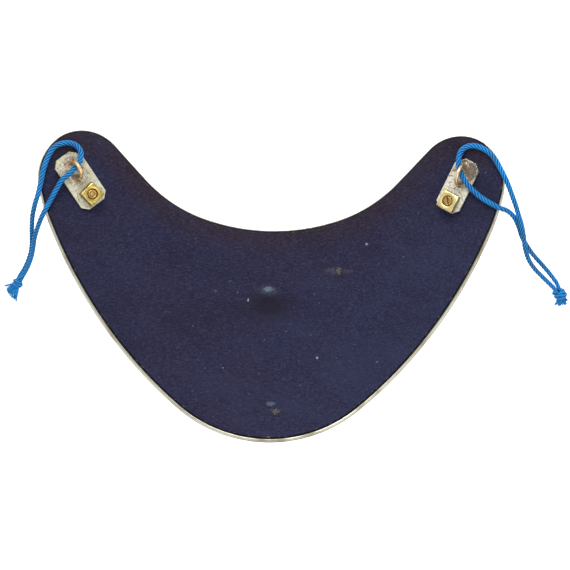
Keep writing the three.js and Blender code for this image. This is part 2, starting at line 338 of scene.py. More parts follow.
def mesh_object(mesh: bpy.types.Mesh, name: str, material: bpy.types.Material,
                smooth: bool = True) -> bpy.types.Object:
    """Links a mesh as an object at the origin.

    Args:
        mesh: The mesh, in the row frame.
        name: Name of the object.
        material: Its material.
        smooth: Whether its faces are shaded smooth.

    Returns:
        The new object.
    """
    mesh.materials.clear()
    mesh.materials.append(material)
    mesh.shade_smooth() if smooth else mesh.shade_flat()
    made = bpy.data.objects.new(name, mesh)
    bpy.context.scene.collection.objects.link(made)
    return made


def fit_piece(piece: bpy.types.Object, slot: Slot, *nodes: str) -> bpy.types.Object:
    """Rides a piece on the gorget and hides the nodes that it stands for."""
    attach(piece, BODY)
    if nodes:
        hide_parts(*nodes)
    LOG.info("%s: %d faces", piece.name, len(piece.data.polygons))
    return piece


def spun(profile: Iterable[tuple[float, float]], steps: int, closed: bool = False) -> bmesh.types.BMesh:
    """Spins a profile about Z.

    Args:
        profile: Radius and height of each point, in millimetres, with both ends on the axis unless it is closed.
        steps: Faces round.
        closed: Whether the profile's last point joins its first.

    Returns:
        The closed body, in metres.
    """
    bm = bmesh.new()
    verts = [bm.verts.new((r * MM, 0, z * MM)) for r, z in profile]
    edges = [bm.edges.new(pair) for pair in zip(verts, verts[1:] + verts[:1] if closed else verts[1:])]
    bmesh.ops.spin(bm, geom=verts + edges, cent=(0, 0, 0), axis=(0, 0, 1), angle=2 * math.pi, steps=steps,
                   use_merge=True, use_duplicate=False)
    bmesh.ops.remove_doubles(bm, verts=bm.verts[:], dist=MERGE)
    bmesh.ops.recalc_face_normals(bm, faces=bm.faces[:])
    return bm


FINE_STEPS = 12
LOBE_POINTS = 8
Radii = Callable[[int, float], float]


def catmull_points(points: list[Vector], spacing: float) -> list[Vector]:
    """Runs a smooth line through points at an even spacing.

    Args:
        points: The points that it passes.
        spacing: Distance between the points given back.

    Returns:
        The points of the line, ends included.
    """
    padded = [2 * points[0] - points[1], *points, 2 * points[-1] - points[-2]]
    fine = []
    for a, b, c, d in zip(padded, padded[1:], padded[2:], padded[3:]):
        for step in range(FINE_STEPS):
            t = step / FINE_STEPS
            fine.append(0.5 * (2 * b + (c - a) * t + (2 * a - 5 * b + 4 * c - d) * t * t
                               + (3 * b - a - 3 * c + d) * t ** 3))
    fine.append(points[-1].copy())
    lengths = [0.0]
    for a, b in zip(fine, fine[1:]):
        lengths.append(lengths[-1] + (b - a).length)
    count = max(2, round(lengths[-1] / spacing))
    line, at = [], 0
    for step in range(count + 1):
        goal = lengths[-1] * step / count
        while at < len(fine) - 2 and lengths[at + 1] < goal:
            at += 1
        span = lengths[at + 1] - lengths[at]
        line.append(fine[at].lerp(fine[at + 1], (goal - lengths[at]) / span if span else 0.0))
    return line


@dataclass(frozen=True)
class Lay:
    """How a cord's strands lie: their number, pitch and the depth of the grooves between them."""

    strands: int
    pitch: float
    groove: float


def swept_mesh(lines: list[list[Vector]], radii: Radii, lay: Lay | None = None) -> bpy.types.Mesh:
    """Sweeps a round or stranded section along lines.

    Args:
        lines: The centre lines, in metres.
        radii: Gives the radius in millimetres from the line's number and the part of its way, 0 to 1.
        lay: The strands of a twisted section, or None for a round one.

    Returns:
        One mesh of all tubes, with closed ends.
    """
    data = bpy.data.curves.new("sweep", "CURVE")
    data.dimensions = "3D"
    data.twist_mode = "MINIMUM"
    data.use_fill_caps = True
    section = None
    if lay:
        section = bpy.data.objects.new("section", stranded_section(lay))
        bpy.context.scene.collection.objects.link(section)
        data.bevel_mode = "OBJECT"
        data.bevel_object = section
    else:
        data.bevel_depth = MM
        data.bevel_resolution = 3
    for number, line in enumerate(lines):
        spline = data.splines.new("POLY")
        spline.points.add(len(line) - 1)
        way = 0.0
        for i, (point, at) in enumerate(zip(spline.points, line)):
            way += (at - line[i - 1]).length if i else 0.0
            point.co = (*at, 1.0)
            point.radius = radii(number, i / (len(line) - 1))
            point.tilt = way / (lay.pitch * MM) * 2 * math.pi if lay else 0.0
    holder = bpy.data.objects.new("sweep", data)
    bpy.context.scene.collection.objects.link(holder)
    bpy.context.view_layer.update()
    mesh = bpy.data.meshes.new_from_object(holder.evaluated_get(bpy.context.evaluated_depsgraph_get()))
    for used in (holder, section):
        if used:
            curve = used.data
            bpy.data.objects.remove(used)
            bpy.data.curves.remove(curve)
    bm = bmesh.new()
    bm.from_mesh(mesh)
    bmesh.ops.remove_doubles(bm, verts=bm.verts[:], dist=MERGE)
    bmesh.ops.recalc_face_normals(bm, faces=bm.faces[:])
    if lay:
        mark_crests(bm, lines, radii, lay)
    bm.to_mesh(mesh)
    bm.free()
    return mesh


def mark_crests(bm: bmesh.types.BMesh, lines: list[list[Vector]], radii: Radii, lay: Lay) -> None:
    """Keeps how high each vertex stands on its strand, from 0 in a groove to 1 on a crest.

    Args:
        bm: The swept cord.
        lines: Its centre lines, in metres.
        radii: Gives the radius as in swept_mesh.
        lay: Its strands.
    """
    crest = bm.verts.layers.float.new("crest")
    tree = kdtree.KDTree(sum(len(line) for line in lines))
    reach = []
    for number, line in enumerate(lines):
        for i, at in enumerate(line):
            tree.insert(at, len(reach))
            reach.append(radii(number, i / (len(line) - 1)) * MM)
    tree.balance()
    for vert in bm.verts:
        _, near, off = tree.find(vert.co)
        vert[crest] = min(1.0, max(0.0, (off / reach[near] - 1 + lay.groove) / lay.groove))


def stranded_section(lay: Lay) -> bpy.types.Curve:
    """Draws the section of a twisted cord, 1 mm in radius, with one lobe for each strand."""
    data = bpy.data.curves.new("section", "CURVE")
    data.dimensions = "2D"
    spline = data.splines.new("POLY")
    spline.points.add(lay.strands * LOBE_POINTS - 1)
    spline.use_cyclic_u = True
    for i, point in enumerate(spline.points):
        off = 2 * (i % LOBE_POINTS) / LOBE_POINTS - 1
        reach = MM * (1 - lay.groove + lay.groove * math.sqrt(max(0.0, 1 - off * off)))
        angle = 2 * math.pi * i / (lay.strands * LOBE_POINTS)
        point.co = (reach * math.cos(angle), reach * math.sin(angle), 0, 1)
    return data


# Finishes


class Graph:
    """Adds nodes to a shader tree and joins them."""

    def __init__(self, tree: bpy.types.NodeTree) -> None:
        """Keeps the tree.

        Args:
            tree: The tree that the nodes go in.
        """
        self.tree = tree

    def node(self, kind: str, inputs: dict[str | int, object] | None = None, **settings: object) -> bpy.types.Node:
        """Adds a node.

        Args:
            kind: Blender's name for the node type.
            inputs: Socket name or number to a value, or to the socket that feeds it.
            settings: The node's own settings.

        Returns:
            The node.
        """
        made = self.tree.nodes.new(kind)
        for key, value in settings.items():
            setattr(made, key, value)
        for key, value in (inputs or {}).items():
            if isinstance(value, bpy.types.NodeSocket):
                self.tree.links.new(value, made.inputs[key])
            else:
                made.inputs[key].default_value = value
        return made

    def mix(self, factor: object, first: object, second: object) -> bpy.types.NodeSocket:
        """Mixes two colours and returns the result's socket."""
        return self.node("ShaderNodeMix", {0: factor, 6: first, 7: second}, data_type="RGBA").outputs[2]

    def cover(self, colour: object, code: str, mask: object, share: float) -> bpy.types.NodeSocket:
        """Lays a coded colour over another where the mask is, by a share, and returns the result's socket."""
        return self.mix(self.maths("MULTIPLY", mask, share), colour, paint(code))

    def maths(self, operation: str, first: object, second: object = 0.0) -> bpy.types.NodeSocket:
        """Works out a number and returns its socket."""
        return self.node("ShaderNodeMath", {0: first, 1: second}, operation=operation).outputs[0]

    def span(self, value: object, low: float, high: float, to_low: float = 0.0,
             to_high: float = 1.0) -> bpy.types.NodeSocket:
        """Maps a number from one range smoothly to another and returns its socket."""
        inputs = {"Value": value, "From Min": low, "From Max": high, "To Min": to_low, "To Max": to_high}
        return self.node("ShaderNodeMapRange", inputs, interpolation_type="SMOOTHSTEP").outputs["Result"]

    def millimetres(self) -> bpy.types.NodeSocket:
        """Returns object coordinates in millimetres."""
        place = self.node("ShaderNodeTexCoord").outputs["Object"]
        return self.node("ShaderNodeVectorMath", {0: place, "Scale": 1000.0}, operation="SCALE").outputs[0]

    def stretch(self, vector: object, scale: tuple[float, float, float],
                turn: float = 0.0) -> bpy.types.NodeSocket:
        """Scales a vector after a turn about Z, in degrees, and returns its socket."""
        turned = self.node("ShaderNodeMapping", {"Vector": vector, "Rotation": (0, 0, math.radians(turn))})
        return self.node("ShaderNodeMapping", {"Vector": turned.outputs[0], "Scale": scale}).outputs[0]

    def noise(self, vector: object, scale: float, detail: float = 2.0, rough: float = 0.5) -> bpy.types.NodeSocket:
        """Returns a noise value's socket."""
        inputs = {"Vector": vector, "Scale": scale, "Detail": detail, "Roughness": rough}
        return self.node("ShaderNodeTexNoise", inputs).outputs["Fac"]

    def group(self, effect: bpy.types.NodeTree, inputs: dict[str, object]) -> bpy.types.Node:
        """Adds a shared effect with its values and returns its node."""
        return self.node("ShaderNodeGroup", inputs, node_tree=effect)


def shared_effect(name: str, inputs: dict[str, tuple[str, object]], outputs: dict[str, str],
                  build: Callable[[Graph, bpy.types.Node, bpy.types.Node], None]) -> bpy.types.NodeTree:
    """Makes a shared effect once.

    Args:
        name: Name of the effect.
        inputs: Input name to its socket type and default.
        outputs: Output name to its socket type.
        build: Adds the nodes between the group's input and output.

    Returns:
        The node group.
    """
    kept = bpy.data.node_groups.get(name)
    if kept:
        return kept
    tree = bpy.data.node_groups.new(name, "ShaderNodeTree")
    for label, (kind, value) in inputs.items():
        socket = tree.interface.new_socket(label, in_out="INPUT", socket_type=kind)
        if value is not None:
            socket.default_value = value
    for label, kind in outputs.items():
        tree.interface.new_socket(label, in_out="OUTPUT", socket_type=kind)
    graph = Graph(tree)
    build(graph, graph.node("NodeGroupInput"), graph.node("NodeGroupOutput"))
    return tree


FLOAT, VECTOR = "NodeSocketFloat", "NodeSocketVector"


def mottle_effect() -> bpy.types.NodeTree:
    """Returns the soft uneven patches of aged metal and cloth, as a mask."""

    def build(graph: Graph, source: bpy.types.Node, sink: bpy.types.Node) -> None:
        """Adds two sizes of noise and sharpens their mix."""
        vector = source.outputs["Vector"]
        coarse = {"Vector": vector, "Scale": source.outputs["Scale"], "Detail": 4.0}
        broad = graph.node("ShaderNodeTexNoise", coarse)
        finer_scale = graph.maths("MULTIPLY", source.outputs["Scale"], 3.7)
        finer = graph.node("ShaderNodeTexNoise", {"Vector": vector, "Scale": finer_scale, "Detail": 3.0})
        both = graph.maths("MULTIPLY_ADD", finer.outputs["Fac"], 0.35)
        graph.tree.links.new(graph.maths("MULTIPLY", broad.outputs["Fac"], 0.65), both.node.inputs[2])
        inputs = {"Value": both, "From Min": source.outputs["Low"], "From Max": source.outputs["High"]}
        mask = graph.node("ShaderNodeMapRange", inputs, interpolation_type="SMOOTHSTEP")
        graph.tree.links.new(mask.outputs["Result"], sink.inputs["Mask"])

    inputs = {"Vector": (VECTOR, None), "Scale": (FLOAT, 0.2), "Low": (FLOAT, 0.4), "High": (FLOAT, 0.6)}
    return shared_effect("uneven patches", inputs, {"Mask": FLOAT}, build)


def speck_effect() -> bpy.types.NodeTree:
    """Returns scattered small specks, as a mask."""

    def build(graph: Graph, source: bpy.types.Node, sink: bpy.types.Node) -> None:
        """Keeps the middles of a few cells."""
        inputs = {"Vector": source.outputs["Vector"], "Scale": source.outputs["Scale"]}
        cells = graph.node("ShaderNodeTexVoronoi", inputs)
        chance = graph.node("ShaderNodeSeparateColor", {0: cells.outputs["Color"]})
        kept = graph.maths("LESS_THAN", chance.outputs[0], source.outputs["Share"])
        size = graph.maths("MULTIPLY", source.outputs["Size"], chance.outputs[1])
        inside = graph.maths("LESS_THAN", cells.outputs["Distance"], size)
        graph.tree.links.new(graph.maths("MULTIPLY", inside, kept), sink.inputs["Mask"])

    inputs = {"Vector": (VECTOR, None), "Scale": (FLOAT, 0.5), "Size": (FLOAT, 0.2), "Share": (FLOAT, 0.2)}
    return shared_effect("specks", inputs, {"Mask": FLOAT}, build)


def scratch_effect() -> bpy.types.NodeTree:
    """Returns fine broken scratches in one direction, as a mask."""

    def build(graph: Graph, source: bpy.types.Node, sink: bpy.types.Node) -> None:
        """Stretches noise along the scratches and keeps its thin middle."""
        vector = source.outputs["Vector"]
        drawn = graph.node("ShaderNodeTexNoise", {"Vector": vector, "Scale": source.outputs["Scale"], "Detail": 3.0,
                                                  "Distortion": 0.3})
        off = graph.maths("ABSOLUTE", graph.maths("SUBTRACT", drawn.outputs["Fac"], 0.5))
        inputs = {"Value": off, "From Min": 0.0, "From Max": source.outputs["Width"], "To Min": 1.0, "To Max": 0.0}
        line = graph.node("ShaderNodeMapRange", inputs).outputs["Result"]
        broken = graph.span(graph.noise(vector, 0.35, 1.0), 0.5, 0.62)
        graph.tree.links.new(graph.maths("MULTIPLY", line, broken), sink.inputs["Mask"])

    inputs = {"Vector": (VECTOR, None), "Scale": (FLOAT, 1.0), "Width": (FLOAT, 0.02)}
    return shared_effect("fine scratches", inputs, {"Mask": FLOAT}, build)


def spot_effect() -> bpy.types.NodeTree:
    """Returns one soft oval spot at a place, as a mask."""

    def build(graph: Graph, source: bpy.types.Node, sink: bpy.types.Node) -> None:
        """Measures from the middle in units of the spot's half sizes, roughened by noise."""
        vector = source.outputs["Vector"]
        middle, reach = source.outputs["Middle"], source.outputs["Reach"]
        off = graph.node("ShaderNodeVectorMath", {0: vector, 1: middle}, operation="SUBTRACT")
        unit = graph.node("ShaderNodeVectorMath", {0: off.outputs[0], 1: reach}, operation="DIVIDE")
        length = graph.node("ShaderNodeVectorMath", {0: unit.outputs[0]}, operation="LENGTH").outputs["Value"]
        uneven = graph.maths("SUBTRACT", graph.noise(vector, 1.4, 3.0), 0.5)
        rough = graph.maths("MULTIPLY", uneven, source.outputs["Rough"])
        near = graph.span(graph.maths("ADD", length, rough), 0.45, 1.0, 1.0, 0.0)
        graph.tree.links.new(near, sink.inputs["Mask"])

    inputs = {"Vector": (VECTOR, None), "Middle": (VECTOR, None), "Reach": (VECTOR, (1, 1, 1)),
              "Rough": (FLOAT, 1.0)}
    return shared_effect("oval spot", inputs, {"Mask": FLOAT}, build)


@dataclass(frozen=True)
class Mark:
    """A spot of wear or dirt, or a painted shadow or painted highlight: its middle and half sizes in millimetres,
    raggedness, strength and colour.
    """

    middle: tuple[float, float, float]
    reach: tuple[float, float, float]
    ragged: float
    strength: float
    colour: str

    def over(self, graph: Graph, place: bpy.types.NodeSocket, colour: bpy.types.NodeSocket) -> bpy.types.NodeSocket:
        """Mixes the mark over a colour and returns the result's socket."""
        inputs = {"Vector": place, "Middle": self.middle, "Reach": self.reach, "Rough": self.ragged}
        spot = graph.group(spot_effect(), inputs)
        return graph.cover(colour, self.colour, spot.outputs["Mask"], self.strength)


class Finish:
    """A finish that makes its material once."""

    name: str

    def material(self) -> bpy.types.Material:
        """Returns the material, made on first use."""
        kept = bpy.data.materials.get(self.name)
        if kept:
            return kept
        made = bpy.data.materials.new(self.name)
        made.use_nodes = True
        graph = Graph(made.node_tree)
        self.dress(graph, made.node_tree.nodes["Principled BSDF"])
        return made

    def dress(self, graph: Graph, shader: bpy.types.Node) -> None:
        """Adds the finish's own nodes."""
        raise NotImplementedError

    @staticmethod
    def feed(graph: Graph, shader: bpy.types.Node, socket: str, source: bpy.types.NodeSocket) -> None:
        """Joins a source to one of the shader's sockets."""
        graph.tree.links.new(source, shader.inputs[socket])

    def relief(self, graph: Graph, shader: bpy.types.Node, height: bpy.types.NodeSocket, depth: float) -> None:
        """Feeds a height, in parts of a depth in millimetres, to the shader's normal."""
        bump = graph.node("ShaderNodeBump", {"Height": height, "Distance": depth * MM, "Strength": 1.0})
        self.feed(graph, shader, "Normal", bump.outputs["Normal"])


@dataclass(frozen=True)
class ClothFinish(Finish):
    """Napped dark blue-violet cloth with lint, worn spots, a browner band below the neck, painted light and painted
    shade along its folds, and painted highlights and a painted shadow at the lining's bumps.
    """

    name: str = "lining cloth"
    violet: str = "242136"
    blue: str = "21243d"
    brown: str = "2b2027"
    nap: str = "3f4059"
    shade: str = "110f19"
    lower_right: str = "272c45"
    # Colours of the painted light and painted shade along the folds.
    fold_painted_light: str = "2c2f47"
    fold_painted_shade: str = "1b1928"
    weft: str = "31324a"
    sheen: str = "8a8ab0"
    lint: tuple[tuple[float, float, float, float, str], ...] = (
        (0.22, 0.08, 0.3, 0.5, "6d7284"), (0.5, 0.16, 0.12, 0.45, "5a5e74"),
    )
    marks: tuple[Mark, ...] = (
        # Painted shadow below the larger bump.
        Mark((-0.4, -6.4, 3), (17.0, 9.5, 9), 0.8, 0.45, "1e1a26"),
        Mark((-0.6, -5.8, 3), (9.0, 5.2, 9), 1.0, 0.6, "1b171f"),
        # Painted highlight on the larger bump.
        Mark((-0.7, 0.6, 4), (5.0, 2.8, 9), 1.6, 0.35, "454d5c"),
        Mark((-0.7, 1.0, 4), (2.1, 1.1, 9), 2.8, 0.5, "6f7d86"),
        # Painted highlight on the smaller bump.
        Mark((1.0, -46.5, 9), (2.3, 1.0, 9), 2.2, 0.45, "616d80"),
        Mark((3.4, -49.9, 9), (5.0, 2.7, 9), 1.4, 0.55, "27242c"),
        Mark((3.1, -49.6, 9), (1.9, 1.4, 9), 3.6, 0.5, "69635b"),
        Mark((28.4, 8.0, 5), (4.0, 3.6, 9), 1.6, 0.5, "211e29"),
        Mark((28.1, 8.9, 5), (1.3, 1.7, 9), 3.0, 0.6, "61574a"),
        Mark((25.2, 8.8, 5), (3.4, 1.6, 9), 3.6, 0.3, "54555e"),
        Mark((31.6, 8.6, 5), (2.6, 1.2, 9), 3.6, 0.25, "4e505e"),
        Mark((-8.9, -3.5, 3), (0.4, 1.1, 9), 1.2, 0.65, "979ba6"),
        Mark((39.3, 19.8, 7), (0.7, 0.7, 9), 0.8, 0.65, "8e93a4"),
        Mark((19.7, -27.2, 6), (0.6, 0.6, 9), 0.8, 0.65, "9aa0ab"),
        Mark((44.0, -28.9, 10), (0.5, 0.4, 9), 0.8, 0.5, "858b9c"),
        Mark((-18.6, -31.9, 7), (0.4, 0.4, 9), 0.8, 0.5, "858b9c"),
    )

    def dress(self, graph: Graph, shader: bpy.types.Node) -> None:
        """Adds the cloth's colour, nap and marks."""
        place = graph.millimetres()
        patches = graph.group(mottle_effect(), {"Vector": place, "Scale": 0.035, "Low": 0.34, "High": 0.7})
        bluer = graph.maths("MULTIPLY", patches.outputs["Mask"], 0.7)
        colour = graph.mix(bluer, paint(self.violet), paint(self.blue))
        across = graph.node("ShaderNodeSeparateXYZ", {0: place})
        slope = graph.maths("SUBTRACT", across.outputs["X"], graph.maths("MULTIPLY", across.outputs["Y"], 0.8))
        colour = graph.mix(graph.span(slope, 10, 120, 0, 0.6), colour, paint(self.lower_right))
        neck = graph.node("ShaderNodeAttribute", attribute_name="neck_distance").outputs["Fac"]
        colour = graph.mix(graph.span(neck, 1.0, 14.0, 0.85, 0.0), colour, paint(self.brown))
        flecks = graph.noise(graph.stretch(place, (0.8, 1.7, 1.2)), 1.05, 3.0, 0.75)
        colour = graph.mix(graph.span(flecks, 0.5, 0.72, 0, 0.7), colour, paint(self.nap))
        colour = graph.mix(graph.span(flecks, 0.5, 0.28, 0, 0.7), colour, paint(self.shade))
        # Painted light and painted shade in broad bands that follow the folds noise.
        folds = graph.noise(graph.stretch(place, (0.03, 0.075, 0.05), 30), 1.0, 3.0, 0.6)
        colour = graph.mix(graph.span(folds, 0.5, 0.7, 0, 0.35), colour, paint(self.fold_painted_light))
        colour = graph.mix(graph.span(folds, 0.5, 0.3, 0, 0.4), colour, paint(self.fold_painted_shade))
        weave = graph.noise(graph.stretch(place, (0.45, 2.2, 1.6)), 0.9, 1.0, 0.5)
        colour = graph.mix(graph.span(weave, 0.52, 0.72, 0, 0.4), colour, paint(self.weft))
        for scale, size, share, strength, code in self.lint:
            specks = graph.group(speck_effect(), {"Vector": place, "Scale": scale, "Size": size, "Share": share})
            colour = graph.cover(colour, code, specks.outputs["Mask"], strength)
        for mark in self.marks:
            colour = mark.over(graph, place, colour)
        self.feed(graph, shader, "Base Color", colour)
        shader.inputs["Roughness"].default_value = 0.9
        shader.inputs["Specular IOR Level"].default_value = 0.12
        shader.inputs["Sheen Weight"].default_value = 0.03
        shader.inputs["Sheen Roughness"].default_value = 0.5
        shader.inputs["Sheen Tint"].default_value = paint(self.sheen)
        fuzz = graph.noise(place, 3.4, 4.0, 0.7)
        height = graph.maths("ADD", graph.maths("MULTIPLY", fuzz, 0.5), graph.maths("MULTIPLY", flecks, 0.5))
        self.relief(graph, shader, height, 0.6)


@dataclass(frozen=True)
class SilverFinish(Finish):
    """Aged silvered sheet with darker tarnish, fine scratches and painted shade along the neck lip."""

    name: str = "silvered sheet"
    silver: str = "aeab9b"
    tarnish: str = "7a725e"
    speck: str = "5d5340"
    scratch: str = "e6e2d4"
    # Colour of the painted shade along the neck lip.
    neck_lip_shade: str = "5f5b50"

    def dress(self, graph: Graph, shader: bpy.types.Node) -> None:
        """Adds tarnish and scratches."""
        place = graph.millimetres()
        patches = graph.group(mottle_effect(), {"Vector": place, "Scale": 0.06, "Low": 0.42, "High": 0.7})
        colour = graph.mix(patches.outputs["Mask"], paint(self.silver), paint(self.tarnish))
        specks = graph.group(speck_effect(), {"Vector": place, "Scale": 0.7, "Size": 0.25, "Share": 0.12})
        colour = graph.cover(colour, self.speck, specks.outputs["Mask"], 0.6)
        drawn = graph.stretch(place, (1.6, 0.1, 0.5), 20)
        scratches = graph.group(scratch_effect(), {"Vector": drawn, "Width": 0.02})
        colour = graph.cover(colour, self.scratch, scratches.outputs["Mask"], 0.4)
        # Painted shade along the neck lip.
        neck = graph.node("ShaderNodeAttribute", attribute_name="v").outputs["Fac"]
        colour = graph.mix(graph.span(neck, 0.98, 1.0, 0, 0.6), colour, paint(self.neck_lip_shade))
        self.feed(graph, shader, "Base Color", colour)
        shader.inputs["Metallic"].default_value = 1.0
        rough = graph.maths("ADD", graph.maths("MULTIPLY", patches.outputs["Mask"], 0.22), 0.3)
        self.feed(graph, shader, "Roughness", rough)
        fine = graph.noise(place, 1.3, 3.0)
        height = graph.maths("SUBTRACT", fine, graph.maths("MULTIPLY", scratches.outputs["Mask"], 0.5))
        self.relief(graph, shader, height, 0.03)


@dataclass(frozen=True)
class MountFinish(Finish):
    """Tinned white metal, mottled round the loop, for one wing's plate."""

    name: str
    loop: tuple[float, float, float]
    nut: tuple[float, float, float]
    pale: str
    green: str
    dull: str
    marks: tuple[Mark, ...]
    worn: str = "9d897c"
    bare: str = "67523c"
    pit: str = "625b47"
    rubbed: str = "8a7a4c"
    rubbed_radius: float = 5.2

    def dress(self, graph: Graph, shader: bpy.types.Node) -> None:
        """Adds mottling round the loop's feet and the arc that the nut's corners have rubbed."""
        place = graph.millimetres()
        patches = graph.group(mottle_effect(), {"Vector": place, "Scale": 0.22, "Low": 0.4, "High": 0.62})
        colour = graph.mix(patches.outputs["Mask"], paint(self.pale), paint(self.green))
        grain = graph.group(mottle_effect(), {"Vector": place, "Scale": 1.1, "Low": 0.47, "High": 0.66})
        colour = graph.cover(colour, self.dull, grain.outputs["Mask"], 0.55)
        round_loop = {"Vector": place, "Middle": self.loop, "Reach": (10, 10, 10), "Rough": 1.2}
        near = graph.group(spot_effect(), round_loop)
        worn = graph.group(mottle_effect(), {"Vector": place, "Scale": 0.45, "Low": 0.42, "High": 0.56})
        patchy = graph.maths("MULTIPLY", near.outputs["Mask"], worn.outputs["Mask"])
        colour = graph.cover(colour, self.worn, patchy, 0.5)
        for mark in self.marks:
            colour = mark.over(graph, place, colour)
        bare = graph.group(mottle_effect(), {"Vector": place, "Scale": 0.8, "Low": 0.5, "High": 0.6})
        bare_near = graph.maths("MULTIPLY", near.outputs["Mask"], bare.outputs["Mask"])
        colour = graph.cover(colour, self.bare, bare_near, 0.85)
        pits = graph.group(speck_effect(), {"Vector": place, "Scale": 1.2, "Size": 0.34, "Share": 0.3})
        colour = graph.cover(colour, self.pit, pits.outputs["Mask"], 0.65)
        off = graph.node("ShaderNodeVectorMath", {0: place, 1: self.nut}, operation="DISTANCE").outputs["Value"]
        off_ring = graph.maths("ABSOLUTE", graph.maths("SUBTRACT", off, self.rubbed_radius))
        ring = graph.span(off_ring, 0.1, 0.45, 1.0, 0.0)
        broken = graph.span(graph.noise(place, 0.25, 1.0), 0.44, 0.56)
        rubbed = graph.maths("MULTIPLY", ring, broken)
        colour = graph.cover(colour, self.rubbed, rubbed, 0.6)
        self.feed(graph, shader, "Base Color", colour)
        shader.inputs["Metallic"].default_value = 0.4
        rough = graph.maths("ADD", graph.maths("MULTIPLY", worn.outputs["Mask"], 0.25), 0.42)
        self.feed(graph, shader, "Roughness", rough)
        rubbed_low = graph.maths("MULTIPLY", rubbed, 0.4)
        height = graph.maths("SUBTRACT", graph.noise(place, 1.3, 5.0, 0.6), rubbed_low)
        self.relief(graph, shader, height, 0.3)


@dataclass(frozen=True)
class BrassFinish(Finish):
    """Brass or copper alloy with file marks, dark dirt patches and a darker colour that a vertex attribute lays on:
    painted shade on a nut's side walls, and darkening in bores, grooves and slots.
    """

    name: str
    bright: str
    dull: str
    grime_and_shade: str
    # Colour of the painted shade on a nut's side walls and of the darkening in bores, grooves and slots.
    shade_and_recess_colour: str = "3f2a10"
    metallic: float = 1.0
    file_turn: float = 30.0

    def dress(self, graph: Graph, shader: bpy.types.Node) -> None:
        """Adds dull patches, dirt patches and file marks, and the vertex attribute's darker colour: painted shade
        on a nut's side walls, and darkening in bores, grooves and slots.
        """
        place = graph.millimetres()
        patches = graph.group(mottle_effect(), {"Vector": place, "Scale": 0.35, "Low": 0.4, "High": 0.62})
        colour = graph.mix(patches.outputs["Mask"], paint(self.bright), paint(self.dull))
        grime_and_shade = graph.group(mottle_effect(), {"Vector": place, "Scale": 0.8, "Low": 0.56, "High": 0.68})
        colour = graph.cover(colour, self.grime_and_shade, grime_and_shade.outputs["Mask"], 0.6)
        filed = graph.stretch(place, (4.0, 0.5, 1.0), self.file_turn)
        marks = graph.group(scratch_effect(), {"Vector": filed, "Width": 0.05})
        colour = graph.cover(colour, self.grime_and_shade, marks.outputs["Mask"], 0.3)
        # Painted shade on a nut's side walls, and darker in the nut's bore and in the bolt's groove, rim and slot,
        # as the vertex attribute gives.
        shade_and_recess_share = graph.node("ShaderNodeAttribute", attribute_name="grime_and_shade").outputs["Fac"]
        colour = graph.mix(shade_and_recess_share, colour, paint(self.shade_and_recess_colour))
        self.feed(graph, shader, "Base Color", colour)
        shader.inputs["Metallic"].default_value = self.metallic
        rough = graph.maths("ADD", graph.maths("MULTIPLY", patches.outputs["Mask"], 0.2), 0.28)
        self.feed(graph, shader, "Roughness", rough)
        mark_depth = graph.maths("MULTIPLY", marks.outputs["Mask"], 0.5)
        height = graph.maths("SUBTRACT", graph.noise(place, 2.2, 3.0), mark_depth)
        self.relief(graph, shader, height, 0.04)


@dataclass(frozen=True)
class YarnFinish(Finish):
    """Dyed twisted yarn with fine fibres, a painted highlight on the strands' crests and painted shade in the
    grooves between them.
    """

    name: str
    dye: str
    # On twisted cord, deep also paints the shade in the grooves, and crest paints the highlight on the crests.
    deep: str
    crest: str
    twisted: bool = True

    def dress(self, graph: Graph, shader: bpy.types.Node) -> None:
        """Adds fibres, uneven dye and, on twisted cord, the painted highlight and painted shade of its strands."""
        place = graph.millimetres()
        patches = graph.group(mottle_effect(), {"Vector": place, "Scale": 0.12, "Low": 0.36, "High": 0.62})
        colour = graph.mix(patches.outputs["Mask"], paint(self.dye), paint(self.deep))
        fibres = graph.noise(place, 3.2, 3.0, 0.7)
        raised = graph.maths("ADD", graph.maths("MULTIPLY", graph.maths("SUBTRACT", fibres, 0.5), 0.5), 0.8)
        if self.twisted:
            stand = graph.node("ShaderNodeAttribute", attribute_name="crest").outputs["Fac"]
            raised = graph.maths("ADD", graph.maths("SUBTRACT", raised, 0.8), stand)
        # On twisted cord, painted highlight on the crests and painted shade in the grooves; on untwisted yarn,
        # paler and darker fibres.
        colour = graph.mix(graph.span(raised, 0.72, 1.05, 0, 0.75), colour, paint(self.crest))
        colour = graph.mix(graph.span(raised, 0.72, 0.25, 0, 0.9), colour, paint(self.deep))
        self.feed(graph, shader, "Base Color", colour)
        shader.inputs["Roughness"].default_value = 0.78
        shader.inputs["Specular IOR Level"].default_value = 0.3
        shader.inputs["Sheen Weight"].default_value = 0.06
        shader.inputs["Sheen Roughness"].default_value = 0.4
        shader.inputs["Sheen Tint"].default_value = paint(self.crest)
        self.relief(graph, shader, fibres, 0.12)


NUT_BRASS = {
    Side.LEFT: BrassFinish("nut brass left", "c4ae68", "ab9449", "75621f", file_turn=-40.0),
    Side.RIGHT: BrassFinish("nut brass right", "ecd79c", "d6bd7a", "96803f", file_turn=60.0),
}
STUD_COPPER = BrassFinish("bolt copper", "c2a264", "9c7b3d", "6b4d1e")
LOOP_WIRE = BrassFinish("loop wire", "e8cb9b", "c9a468", "7c5f32")
SOLDER = BrassFinish("solder", "978a76", "705f4a", "4b3d2c", metallic=0.4)
# Its crest colour is the painted highlight on the strands.
CORD_YARN = YarnFinish("cord yarn", "005b9b", "033164", "2893d6")
TUFT_YARN = YarnFinish("tuft yarn", "0674b2", "045089", "2f9bdd", twisted=False)
LINT_YARN = YarnFinish("lint", "958f83", "746d62", "bab5aa", twisted=False)


